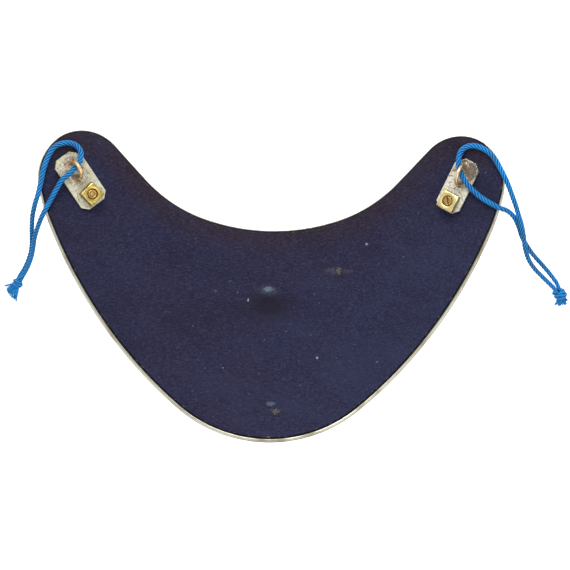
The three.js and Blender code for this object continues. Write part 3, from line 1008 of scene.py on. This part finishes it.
MOUNT_LOOKS = {
    Side.LEFT: ("c9c5ae", "b4b9a4", "85806a", (
        Mark((-86.6, 48.1, 29.7), (3.4, 3.8, 5), 1.0, 0.5, "c6b592"),
        Mark((-82.4, 52.3, 28.5), (1.9, 1.2, 5), 2.0, 0.75, "83623f"),
        Mark((-81.7, 49.4, 27.6), (2.9, 2.5, 5), 1.6, 0.6, "958d86"),
        Mark((-82.8, 47.0, 27.6), (1.4, 1.4, 5), 1.6, 0.6, "a56b58"),
        Mark((-79.8, 42.9, 25.5), (1.3, 1.6, 5), 1.4, 0.85, "544b44"),
        Mark((-79.0, 41.8, 25.0), (1.9, 1.9, 5), 2.0, 0.6, "a17c6e"),
        Mark((-80.7, 40.5, 25.6), (1.0, 1.0, 5), 1.6, 0.6, "96765c"),
        Mark((-77.2, 49.6, 25.7), (0.9, 1.1, 5), 1.2, 0.6, "997f62"),
        Mark((-76.1, 46.1, 24.5), (1.3, 1.5, 5), 1.8, 0.5, "b3958a"),
        Mark((-76.4, 44.0, 24.3), (1.4, 1.4, 5), 1.4, 0.5, "96ab9c"),
        Mark((-85.1, 47.1, 28.8), (1.1, 1.1, 5), 1.4, 0.5, "9db1a4"),
    )),
    Side.RIGHT: ("dad6c9", "cbccbc", "a19b88", (
        Mark((80.3, 47.4, 26.6), (3.7, 5.0, 5), 1.0, 0.95, "463c2b"),
        Mark((80.3, 47.6, 26.6), (1.8, 2.6, 5), 2.4, 0.6, "82776d"),
        Mark((81.8, 50.4, 27.7), (1.4, 1.8, 5), 2.4, 0.6, "4f462f"),
        Mark((78.1, 51.3, 26.4), (1.6, 1.3, 5), 1.0, 0.9, "43391f"),
        Mark((79.7, 45.0, 25.9), (1.2, 1.2, 5), 1.8, 0.45, "94735f"),
        Mark((75.7, 42.0, 23.6), (1.9, 1.1, 5), 1.8, 0.6, "9c9286"),
        Mark((77.2, 41.3, 24.2), (0.9, 0.7, 5), 1.6, 0.7, "a38270"),
        Mark((73.4, 48.2, 23.8), (1.0, 0.9, 5), 1.8, 0.6, "6f6d52"),
    )),
}


# Front sheet and lining


@dataclass(frozen=True)
class FrontPlate:
    """The thin silvered sheet with its turned-up edge, beaded at the foot and rounded at the lip."""

    sheet: float = 0.6
    edge_depth: float = 2.7
    thicker: float = 0.35
    rows: int = 36

    def section(self) -> list[EdgePoint]:
        """Returns the edge section, from the front face over the lip to the pocket's floor."""
        top = self.edge_depth
        outer = [(0, 0.6), (0.03, 0.26), (0.14, 0.0), (0.36, -0.14), (0.62, -0.15), (0.84, -0.03), (0.95, 0.1),
                 (1.1, 0.14), (1.28, 0.06), (1.5, 0.0), (2.1, 0.0), (top - 0.22, 0.02), (top - 0.06, 0.1)]
        inner = [(top, 0.24), (top - 0.04, 0.4), (top - 0.2, 0.5), (top - 0.5, 0.54), (0.7, self.sheet),
                 (self.sheet, 0.8)]
        return [EdgePoint(h, i) for h, i in outer] + [EdgePoint(h, i, self.thicker) for h, i in inner]

    def build(self) -> bpy.types.Object:
        """Builds and dresses the sheet.

        Returns:
            The sheet's object.
        """
        bm = CRESCENT.shell(self.rows, self.section())
        made = as_object(bm, "silvered_sheet", SilverFinish().material())
        return fit_piece(made, Slot.FRONT_PLATE, "front_plate")


@dataclass(frozen=True)
class LiningBump:
    """A low bump in the lining: its place, reach and rise in millimetres."""

    x: float
    y: float
    reach: float
    rise: float


@dataclass(frozen=True)
class Lining:
    """The padded cloth lining with its rolled edge, two bumps and a press mark round the lower side of the larger
    one.
    """

    rows: int = 104
    top: float = 2.8
    base: float = 0.9
    gap: float = 0.8
    press_radius: float = 6.3
    press_depth: float = 0.2
    plain_rim: float = 2.6
    bumps: tuple[LiningBump, ...] = (LiningBump(-1.0, -0.4, 5.4, 1.15), LiningBump(0.4, -45.2, 3.6, 0.75))

    def section(self) -> list[EdgePoint]:
        """Returns the edge section, from the upper face round the rolled edge to the underside."""
        points = [(self.top, 2.2), (2.79, 1.6), (2.74, 1.15), (2.62, 0.86), (2.4, 0.68), (2.0, 0.62), (1.3, 0.64),
                  (self.base, 0.88)]
        return [EdgePoint(h, i, self.gap) for h, i in points]

    def relief(self, x: float, y: float) -> float:
        """Gives the height of the cloth's own relief over its plain face.

        Args:
            x: Place across.
            y: Place along.

        Returns:
            The height, in millimetres.
        """
        height = 0.16 * noise.noise((x / 21, y / 16, 1.3)) + 0.07 * noise.noise((x / 6, y / 3.4, 4.1))
        for bump in self.bumps:
            height += bump.rise * smooth_fall(math.hypot(x - bump.x, y - bump.y), bump.reach)
        dent = self.bumps[0]
        ring = abs(math.hypot(x - dent.x, (y - dent.y + 0.6) * 1.05) - self.press_radius)
        if y < dent.y - 3:
            height -= self.press_depth * smooth_fall(ring, 1.0)
        return height

    def build(self) -> bpy.types.Object:
        """Builds and dresses the lining.

        Returns:
            The lining's object.
        """
        bm = CRESCENT.shell(self.rows, self.section())
        edges = CRESCENT.edge_tree([CRESCENT.lower, CRESCENT.neck])
        neck = CRESCENT.edge_tree([CRESCENT.neck])
        neck_layer = bm.verts.layers.float.new("neck_distance")
        u_layer, v_layer = bm.verts.layers.float["u"], bm.verts.layers.float["v"]
        top_face = self.section()[0]
        for vert in bm.verts:
            plan = CRESCENT.plan(vert[u_layer], vert[v_layer], top_face)
            spot = (plan.x, plan.y, 0)
            vert[neck_layer] = neck.find(spot)[2]
            up = CRESCENT.dish.normal(plan.x, plan.y)
            face = CRESCENT.dish.point(plan.x, plan.y, self.top)
            if (vert.co - face).length < 1e-6:
                inner = min(1.0, max(0.0, (edges.find(spot)[2] - self.plain_rim) / 3))
                vert.co += up * self.relief(plan.x, plan.y) * inner * MM
        made = as_object(bm, "cloth_lining", ClothFinish().material())
        return fit_piece(made, Slot.LINING, "lining")


# Fittings of the wings


@dataclass(frozen=True)
class MountShape:
    """One wing's mount plate: its place in plan, size, angle and the clip of each corner."""

    side: Side
    x: float
    y: float
    length: float
    width: float
    angle: float
    clips: tuple[float, float, float, float]


@dataclass(frozen=True)
class LoopShape:
    """One wing's wire loop: its place along the plate, span, turn and lean."""

    along: float
    span: float
    turn: float
    lean: float


class WingFittings:
    """The mount plate, bolt, nut and wire loop of one wing."""

    LONGEST_PLATE = 24
    BASE = Lining.top + CLEARANCE + LONGEST_PLATE**2 / (8 * Dish.radius_across)
    THICKNESS = 1.2
    TOP = BASE + THICKNESS
    NUT_HEIGHT = 3.2
    NUT_TOP = TOP + CLEARANCE + NUT_HEIGHT
    STUD_DROP = 0.3
    BOLT_ALONG = 7.0
    WIRE = 0.75
    LOOP_RISE = 6.8

    def __init__(self, mount: MountShape, loop: LoopShape, nut_turn: float) -> None:
        """Sets up the wing's own frame.

        Args:
            mount: Shape of the mount plate.
            loop: Shape of the wire loop.
            nut_turn: Turn of the nut against the plate, in degrees.
        """
        self.mount, self.loop, self.nut_turn = mount, loop, nut_turn
        up = CRESCENT.dish.normal(mount.x, mount.y)
        east = Vector((0, 1, 0)).cross(up).normalized()
        along = Quaternion(up, math.radians(mount.angle)) @ east
        turned = Matrix((along, up.cross(along), up)).transposed().to_4x4()
        self.frame = Matrix.Translation(CRESCENT.dish.point(mount.x, mount.y, 0)) @ turned

    def at(self, along: float, across: float, height: float) -> Vector:
        """Returns a point of the wing's frame in the row frame, in metres."""
        return self.frame @ Vector((along * MM, across * MM, height * MM))

    def _set(self, bm: bmesh.types.BMesh, along: float = 0.0, turn: float = 0.0) -> None:
        """Puts a body made at the wing's origin in its place."""
        local = Matrix.Translation((along * MM, 0, 0)) @ Matrix.Rotation(math.radians(turn), 4, "Z")
        bmesh.ops.transform(bm, matrix=self.frame @ local, verts=bm.verts[:])

    def plate(self) -> bpy.types.Object:
        """Builds the mount plate.

        Returns:
            The plate's object.
        """
        mount = self.mount
        bm = bmesh.new()
        bmesh.ops.create_cube(bm, size=1.0)
        bmesh.ops.scale(bm, vec=Vector((mount.length, mount.width, self.THICKNESS)) * MM, verts=bm.verts[:])
        bmesh.ops.translate(bm, vec=(0, 0, (self.BASE + self.THICKNESS / 2) * MM), verts=bm.verts[:])
        corners = sorted((e for e in bm.edges if abs(e.verts[0].co.z - e.verts[1].co.z) > 1e-6),
                         key=lambda e: math.atan2(e.verts[0].co.y, e.verts[0].co.x) % (2 * math.pi))
        for corner, clip in zip(corners, mount.clips):
            bmesh.ops.bevel(bm, geom=[corner], offset=clip * MM, segments=1, profile=0.5, affect="EDGES",
                            material=-1)
        rims = [e for e in bm.edges if abs(e.verts[0].co.z - e.verts[1].co.z) < 1e-7]
        bmesh.ops.bevel(bm, geom=rims, offset=0.16 * MM, segments=3, profile=0.5, affect="EDGES", material=-1)
        self._set(bm)
        finish = MountFinish(f"mount metal {mount.side.value}", tuple(self.at(self.loop.along, 0, self.TOP) / MM),
                             tuple(self.at(self.BOLT_ALONG, 0, self.TOP) / MM), *MOUNT_LOOKS[mount.side])
        made = as_object(bm, f"plate_{mount.side.value}", finish.material())
        self.bevelled(made)
        return fit_piece(made, Slot.MOUNT_PLATE, f"mount_plate_{mount.side.value}")

    @staticmethod
    def bevelled(made: bpy.types.Object) -> None:
        """Shades a flat-faced piece flat on its broad faces and smooth on its rounded edges."""
        made.modifiers.new("weighted", "WEIGHTED_NORMAL").keep_sharp = False

    def nut(self) -> bpy.types.Object:
        """Builds the square nut with its chamfered corners.

        Returns:
            The nut's object.
        """
        half, bore, height, flat = 3.5, 2.08, self.NUT_HEIGHT, 3.42
        profile = [(bore, -height), (bore, -0.42), (2.2, -0.16), (2.4, 0), (flat, 0), (half - 0.04, 0),
                   (half, -0.05), (half, -0.3), (half, -height)]
        bm = spun(profile, 64, closed=True)
        grime_and_shade = bm.verts.layers.float.new("grime_and_shade")
        for vert in bm.verts:
            reach = vert.co.xy.length
            # Painted shade on the side walls; darker in the bore.
            side_wall = reach > (half - 0.01) * MM and vert.co.z < -0.2 * MM
            vert[grime_and_shade] = 0.85 if reach < (bore + 0.05) * MM else 0.62 if side_wall else 0.0
            if reach > (flat + 0.01) * MM:
                stretch = reach / max(abs(vert.co.x), abs(vert.co.y))
                vert.co.x, vert.co.y = vert.co.x * stretch, vert.co.y * stretch
                if vert.co.z > -0.1 * MM:
                    vert.co.z -= (reach * stretch - flat * MM) * 0.28
        rim = half * 1.3 * MM
        corners = [e for e in bm.edges
                   if e.calc_face_angle(0) > 0.9 and min(v.co.xy.length for v in e.verts) > rim]
        bmesh.ops.bevel(bm, geom=corners, offset=0.12 * MM, segments=2, profile=0.5, affect="EDGES", material=-1)
        bmesh.ops.translate(bm, vec=(0, 0, self.NUT_TOP * MM), verts=bm.verts[:])
        self._set(bm, self.BOLT_ALONG, self.nut_turn)
        made = as_object(bm, f"square_nut_{self.mount.side.value}", NUT_BRASS[self.mount.side].material())
        self.bevelled(made)
        return fit_piece(made, Slot.NUT, f"nut_{self.mount.side.value}")

    def bolt(self) -> bpy.types.Object:
        """Builds the bolt: a plain domed head on the front, and an end in the nut with a groove or a slot.

        Returns:
            The bolt's object.
        """
        end = self.NUT_TOP - self.STUD_DROP
        head, stud, groove, slot_reach = 5.5, 1.97, 0.95, 1.6
        turns = [math.radians(a) for a in range(0, 91, 10)]
        dome = [(head * math.sin(a), -0.9 - 1.8 * math.cos(a)) for a in turns]
        crown = [(stud, -0.4), (1.86, -0.1), (1.7, 0.04), (1.5, 0.1), (1.3, 0.04), (1.16, -0.14), (1.04, -0.26),
                 (0.86, -0.28), (0.68, -0.2), (0.48, -0.16), (0.26, -0.16), (0, -0.17)]
        profile = [*dome, (head, -0.42), (5.38, -0.3), (stud, -0.3), *((r, end + rise) for r, rise in crown)]
        bm = spun(profile, 56)
        grime_and_shade = bm.verts.layers.float.new("grime_and_shade")
        slotted = self.mount.side is Side.RIGHT
        slot_turn = math.radians(self.loop.turn + 115)
        slot = Vector((math.cos(slot_turn), math.sin(slot_turn)))
        for vert in bm.verts:
            reach = vert.co.xy.length / MM
            if vert.co.z > (end - 0.5) * MM:
                # Darker round the end's rim and in its groove, or in its slot.
                ring = 0.0 if slotted else 0.8 * smooth_fall(abs(reach - groove), 0.25)
                vert[grime_and_shade] = 0.75 * max(smooth_fall(abs(reach - stud), 0.22), ring)
                if slotted and reach < slot_reach:
                    cut = smooth_fall(abs(vert.co.xy.dot(slot)) / MM, 0.5)
                    vert.co.z = ((1 - cut) * (end + 0.06) + cut * (end - 0.3)) * MM
                    vert[grime_and_shade] = 0.8 * cut
        self._set(bm, self.BOLT_ALONG)
        made = as_object(bm, f"stud_{self.mount.side.value}", STUD_COPPER.material())
        return fit_piece(made, Slot.BOLT, f"bolt_{self.mount.side.value}")

    def wire_line(self) -> list[Vector]:
        """Returns the wire loop's centre line, its legs bent flat under the plate."""
        foot = self.loop.span / 2
        bent = self.BASE - CLEARANCE - self.WIRE
        arch = self.TOP + self.LOOP_RISE - self.WIRE - foot
        half = [(foot + 2, bent), (foot + 1, bent), (foot, bent + 1), (foot, self.TOP), (foot, arch)]
        half += [(foot * math.cos(a), arch + foot * math.sin(a)) for a in (math.radians(30), math.radians(60))]
        both = half + [(0, arch + foot)] + [(-along, height) for along, height in reversed(half)]
        lean = math.tan(math.radians(self.loop.lean))
        turn = Matrix.Rotation(math.radians(self.loop.turn), 3, "Z")
        points = []
        for along, height in both:
            local = turn @ Vector((along, lean * max(0.0, height - self.TOP), height))
            points.append(self.at(local.x + self.loop.along, local.y, local.z))
        return catmull_points(points, 0.35 * MM)

    def wire(self) -> bpy.types.Object:
        """Builds the wire loop with the flat, dull mounds round its feet.

        Returns:
            The loop's object.
        """
        side = self.mount.side.value
        mesh = swept_mesh([self.wire_line()], lambda *_: self.WIRE)
        made = mesh_object(mesh, f"loop_{side}", LOOP_WIRE.material())
        fit_piece(made, Slot.WIRE_LOOP, f"wire_loop_{side}")
        turn = math.radians(self.loop.turn)
        for number, end in enumerate((-1, 1)):
            along = self.loop.along + end * self.loop.span / 2 * math.cos(turn)
            across = end * self.loop.span / 2 * math.sin(turn)
            bm = spun([(0, -0.1), (1.6, -0.1), (1.45, 0.03), (1.15, 0.12), (0.9, 0.34), (0, 0.34)], 32)
            for vert in bm.verts:
                place = vert.co / MM
                ragged = 1 + 0.28 * noise.noise((place.x * 0.8 + 5 * number, place.y * 0.8, end + 2.0))
                vert.co.x, vert.co.y = vert.co.x * ragged, vert.co.y * ragged
            local = Matrix.Translation(Vector((along, across, self.TOP)) * MM)
            bmesh.ops.transform(bm, matrix=self.frame @ local, verts=bm.verts[:])
            mound = as_object(bm, f"solder_{side}_{number + 1}", SOLDER.material())
            fit_piece(mound, Slot.MOUNT_PLATE)
        return made

    def build(self) -> None:
        """Builds all fittings of the wing."""
        self.plate()
        self.bolt()
        self.nut()
        self.wire()


WINGS = (
    WingFittings(MountShape(Side.LEFT, -78.8, 42.6, 24, 12.5, -50.5, (2.4, 3.6, 2.4, 2.4)),
                 LoopShape(-4.8, 7.2, -11, 6), 10),
    WingFittings(MountShape(Side.RIGHT, 77, 42.7, 22.5, 10.6, -120, (2.4, 2.4, 3.4, 2.0)),
                 LoopShape(-4.7, 7.8, 9, -3), 0),
)


# Neck cords


@dataclass(frozen=True)
class KnotShape:
    """A knot's middle, the reach, turns, pitch and start of its wrap, and its tuft's tips, in millimetres."""

    middle: Vector
    reach: float
    wraps: float
    pitch: float
    start: float
    tips: tuple[Vector, ...]


@dataclass(frozen=True)
class NeckCord:
    """One doubled cord with the knot and tuft that end it."""

    side: Side
    route: tuple[tuple[float, float, float], ...]
    knot: KnotShape
    radius: float = 1.12
    lay: Lay = Lay(5, 9.0, 0.34)
    wrap_steps: int = 72
    strands: int = 62
    wisps: int = 14

    def line(self) -> list[Vector]:
        """Returns the cord's centre line, in metres."""
        return catmull_points([Vector(p) * MM for p in self.route], 0.36 * MM)

    def cord(self, knot: bpy.types.Object, tuft: bpy.types.Object) -> bpy.types.Object:
        """Args:
            knot: The knot on its ends. Not used.
            tuft: The tuft beyond the knot. Not used.

        Returns:
            The cord's object.
        """
        line = self.line()
        mesh = swept_mesh([line], lambda _, part: self.radius - 0.2 * abs(2 * part - 1) ** 1.5, self.lay)
        made = mesh_object(mesh, f"twisted_cord_{self.side.value}", CORD_YARN.material())
        return fit_piece(made, Slot.CORD, f"cord_{self.side.value}")

    def knotted(self) -> bpy.types.Object:
        """Builds the knot: both strands and the turns of cord round them.

        Returns:
            The knot's object.
        """
        line, knot = self.line(), self.knot
        middle = knot.middle * MM
        way = (knot.tips[len(knot.tips) // 2] * MM - (line[0] + line[-1]) / 2)
        along = Vector((way.x, way.y, 0)).normalized()
        side = Vector((0, 0, 1)).cross(along)
        lines = []
        for inner, end, shift in ((line[3], line[0], -1), (line[-4], line[-1], 1)):
            core = middle + side * shift * 0.55 * MM
            lines.append(catmull_points([inner, end, core, core + along * 1.7 * MM], 0.3 * MM))
        wrap = []
        for step in range(self.wrap_steps + 1):
            turn = 2 * math.pi * (knot.wraps * step / self.wrap_steps + knot.start)
            reach = knot.reach * (1 - 0.5 * smooth_fall(min(step, self.wrap_steps - step), 8))
            shift = knot.pitch * knot.wraps * (step / self.wrap_steps - 0.5) + 0.45 * math.sin(turn)
            wrap.append(middle + (along * shift + side * reach * math.cos(turn)
                                  + Vector((0, 0, reach * 0.86 * math.sin(turn)))) * MM)
        lines.append(wrap)
        mesh = swept_mesh(lines, lambda number, _: 0.86 if number < 2 else 0.98, self.lay)
        made = mesh_object(mesh, f"tied_knot_{self.side.value}", CORD_YARN.material())
        return fit_piece(made, Slot.KNOT, f"knot_{self.side.value}")

    def tuft(self) -> bpy.types.Object:
        """Builds the brush of frayed strands that ends the cord.

        Returns:
            The tuft's object.
        """
        rng = random.Random(f"tuft {self.side.value}")
        tips, middle = self.knot.tips, self.knot.middle
        lines, thick = [], []
        for strand in range(self.strands + self.wisps):
            at = rng.uniform(0, len(tips) - 1.001)
            first, part = int(at), at % 1
            wisp = strand >= self.strands
            reach = rng.uniform(0.9, 1.12) if wisp else 1.02 - 0.26 * math.sin(math.pi * part) * rng.random()
            way = (tips[first].lerp(tips[first + 1], part) - middle) * reach
            off = Vector((rng.uniform(-0.4, 0.4), rng.uniform(-0.4, 0.4), rng.uniform(-1, 0.6)))
            start = middle + way * 0.2 + off
            end = middle + way + Vector([rng.uniform(-0.25, 0.25) for _ in range(3)])
            end.z = max(0.3, end.z)
            off = Vector((rng.uniform(-0.3, 0.3), rng.uniform(-0.3, 0.3), rng.uniform(-0.5, 0.9)))
            swell = start.lerp(end, 0.5) + off
            swell.z = max(0.4, swell.z)
            lines.append(catmull_points([p * MM for p in (start, swell, end)], 0.4 * MM))
            thick.append(0.07 if wisp else rng.uniform(0.26, 0.42))
        mesh = swept_mesh(lines, lambda number, part: thick[number] * (1 - 0.6 * part))
        made = mesh_object(mesh, f"frayed_tuft_{self.side.value}", TUFT_YARN.material())
        return fit_piece(made, Slot.KNOT)

    def build(self) -> None:
        """Builds the cord with its knot and tuft."""
        self.cord(self.knotted(), self.tuft())


LEFT_ROUTE = (
    (-103.2, 5.2, 1.5), (-101.5, 8.0, 1.6), (-100.0, 10.8, 3.0), (-98.5, 14.0, 6.4), (-97.6, 16.9, 10.4),
    (-97.1, 20.0, 15.2), (-96.6, 22.9, 20.4), (-95.8, 27.2, 25.4), (-94.5, 31.4, 28.8), (-93.3, 34.8, 30.4),
    (-92.2, 40.2, 30.6), (-91.3, 44.9, 30.9), (-89.6, 50.0, 31.0), (-87.2, 54.0, 30.7), (-84.2, 55.7, 29.7),
    (-81.2, 56.1, 28.6), (-78.6, 55.1, 28.1), (-76.9, 52.8, 28.1), (-76.9, 49.5, 28.0), (-78.3, 46.9, 28.2),
    (-81.0, 43.7, 28.6), (-84.1, 40.7, 28.8), (-86.3, 37.2, 27.9), (-88.7, 32.5, 27.8), (-91.0, 27.6, 28.6),
    (-92.8, 24.1, 26.6), (-94.3, 21.1, 23.0), (-95.6, 18.2, 18.8), (-96.4, 15.5, 14.8), (-97.4, 12.6, 10.6),
    (-98.9, 9.6, 6.7), (-100.4, 7.0, 4.7), (-101.9, 4.3, 4.3),
)
RIGHT_ROUTE = (
    (116.6, 3.4, 3.2), (114.5, 5.2, 4.2), (111.2, 7.9, 6.2), (108.0, 10.5, 9.2), (105.3, 13.5, 12.8),
    (103.3, 17.6, 17.0), (102.3, 21.8, 20.8), (101.2, 25.8, 23.8), (99.6, 29.8, 26.6), (97.7, 34.7, 29.0),
    (94.2, 42.5, 32.4), (91.2, 48.8, 31.6), (88.2, 53.4, 31.0), (85.1, 55.9, 30.1), (81.5, 57.4, 28.8),
    (78.4, 57.1, 27.7), (76.2, 55.2, 27.4), (75.4, 52.4, 27.4), (75.3, 49.9, 27.1), (75.9, 47.5, 26.8),
    (77.2, 44.4, 26.9), (79.6, 41.1, 27.2), (82.4, 38.4, 26.9), (85.1, 36.3, 26.9), (88.4, 34.1, 27.8),
    (91.8, 32.1, 29.5), (95.3, 31.2, 27.0), (98.2, 29.2, 23.6), (100.4, 26.0, 19.6), (102.1, 22.5, 16.0),
    (104.2, 19.8, 13.2), (106.9, 16.6, 10.3), (110.9, 12.9, 7.2), (114.6, 9.3, 4.8), (117.8, 5.6, 3.2),
)
NECK_CORDS = (
    NeckCord(Side.LEFT, LEFT_ROUTE, KnotShape(
        Vector((-103.8, 2.1, 2.5)), 1.35, 1.5, 1.5, 0.1,
        (Vector((-109.2, 1.1, 1.3)), Vector((-108.1, -1.2, 1.6)), Vector((-106.4, -3.8, 1.2)),
         Vector((-104.4, -5.2, 1)), Vector((-103.9, -2.5, 2.2))))),
    NeckCord(Side.RIGHT, RIGHT_ROUTE, KnotShape(
        Vector((119.2, 1.0, 2.6)), 1.75, 2.2, 1.55, 0.3,
        (Vector((117, -3.2, 1.1)), Vector((119.3, -3.8, 1.4)), Vector((121.8, -3.1, 1.2)),
         Vector((122.5, -1.4, 1.9))))),
)


@dataclass(frozen=True)
class FrayedEdge:
    """The stray threads between the lining's edge and the sheet's lip, and the lint on the cloth."""

    threads: int = 80
    lint: int = 8
    radius: float = 0.055

    def build(self) -> bpy.types.Object:
        """Builds the threads as one piece.

        Returns:
            The threads' object.
        """
        rng = random.Random("frayed edge")
        lines = []
        for _ in range(self.threads):
            side, v = rng.choice((-1, 1)), float(rng.random() < 0.2)
            u = side * rng.random() ** 1.4 * 0.85
            start = CRESCENT.place(u, v, EdgePoint(2.55, 1.4, 0.7))
            tip = EdgePoint(rng.uniform(2.2, 2.9), rng.uniform(0.5, 1.0), 0.5)
            end = CRESCENT.place(u + side * rng.uniform(-0.008, 0.008), v, tip)
            lines.append([start, start.lerp(end, 0.5) + Vector((0, 0, 0.15 * MM)), end])
        for _ in range(self.lint):
            plan = CRESCENT.plan(rng.uniform(-0.85, 0.85), rng.uniform(0.08, 0.9), EdgePoint(2.9, 3))
            angle, reach = rng.uniform(0, math.pi), rng.uniform(0.25, 0.6)
            step = Vector((math.cos(angle), math.sin(angle))) * reach
            ends = [CRESCENT.dish.point(plan.x + k * step.x, plan.y + k * step.y, 2.95) for k in (-1, 0, 1)]
            ends[1] += Vector((0.1 * MM * math.sin(angle), 0.1 * MM * math.cos(angle), 0.12 * MM))
            lines.append(catmull_points(ends, 0.2 * MM))
        mesh = swept_mesh(lines, lambda _, part: self.radius * (1 - 0.4 * part))
        made = mesh_object(mesh, "stray_threads", LINT_YARN.material())
        return fit_piece(made, Slot.LINING)


# Camera, light and floor


@dataclass(frozen=True)
class Studio:
    """The camera at the photo's angle, soft light from the neck side and a plain pale floor."""

    target: tuple[float, float, float] = (6.15, 2.35, 8.0)
    distance: float = 900.0
    elevation: float = 83.0
    roll: float = 0.86
    field: float = 233.0
    sensor: float = 36.0

    def camera(self) -> None:
        """Places the camera."""
        data = bpy.data.cameras.new("camera")
        data.sensor_width = self.sensor
        data.lens = self.sensor * self.distance / self.field
        data.clip_start, data.clip_end = 0.01, 20
        rise = math.radians(self.elevation)
        back = Vector((0, -math.cos(rise), math.sin(rise)))
        level = Vector((1, 0, 0))
        upright = back.cross(level)
        cosine, sine = math.cos(math.radians(self.roll)), math.sin(math.radians(self.roll))
        right, up = cosine * level + sine * upright, cosine * upright - sine * level
        turned = Matrix((right, up, back)).transposed().to_4x4()
        holder = bpy.data.objects.new("camera", data)
        holder.matrix_world = Matrix.Translation((Vector(self.target) + self.distance * back) * MM) @ turned
        bpy.context.scene.collection.objects.link(holder)
        bpy.context.scene.camera = holder

    @staticmethod
    def lamp(name: str, place: Vector, size: float, power: float) -> None:
        """Adds a square lamp that faces the gorget.

        Args:
            name: Its name.
            place: Where it stands, in metres.
            size: Its side, in metres.
            power: Its power, in watts.
        """
        data = bpy.data.lights.new(name, "AREA")
        data.size, data.energy = size, power
        holder = bpy.data.objects.new(name, data)
        holder.matrix_world = Matrix.Translation(place) @ place.to_track_quat("Z", "Y").to_matrix().to_4x4()
        bpy.context.scene.collection.objects.link(holder)

    def light(self) -> None:
        """Sets the surroundings and the lamps."""
        world = bpy.data.worlds.new("studio")
        world.use_nodes = True
        world.node_tree.nodes["Background"].inputs["Color"].default_value = (1, 1, 1, 1)
        world.node_tree.nodes["Background"].inputs["Strength"].default_value = 0.75
        bpy.context.scene.world = world
        self.lamp("key", Vector((-0.15, 0.75, 1.1)), 0.7, 16)
        self.lamp("fill", Vector((0.5, -0.6, 1.0)), 0.9, 5)
        bpy.context.scene.view_settings.view_transform = "Standard"

    @staticmethod
    def floor() -> None:
        """Lays the floor."""
        material = bpy.data.materials.new("floor")
        material.use_nodes = True
        shader = material.node_tree.nodes["Principled BSDF"]
        shader.inputs["Base Color"].default_value = (0.93, 0.93, 0.93, 1)
        shader.inputs["Roughness"].default_value = 0.9
        shader.inputs["Specular IOR Level"].default_value = 0.1
        shader.inputs["Emission Color"].default_value = (1, 1, 1, 1)
        shader.inputs["Emission Strength"].default_value = 0.55
        bm = bmesh.new()
        bmesh.ops.create_grid(bm, x_segments=1, y_segments=1, size=2.0)
        made = as_object(bm, "floor", material, smooth=False)


def main() -> None:
    """Builds the whole scene in order."""
    logging.basicConfig(level=logging.INFO, format="%(name)s %(message)s")
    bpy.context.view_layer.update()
    studio = Studio()
    studio.camera()
    for cord in NECK_CORDS:
        cord.build()
    FrontPlate().build()
    Lining().build()
    FrayedEdge().build()
    for wing in WINGS:
        wing.build()
    studio.light()
    studio.floor()


if __name__ == "__main__":
    main()
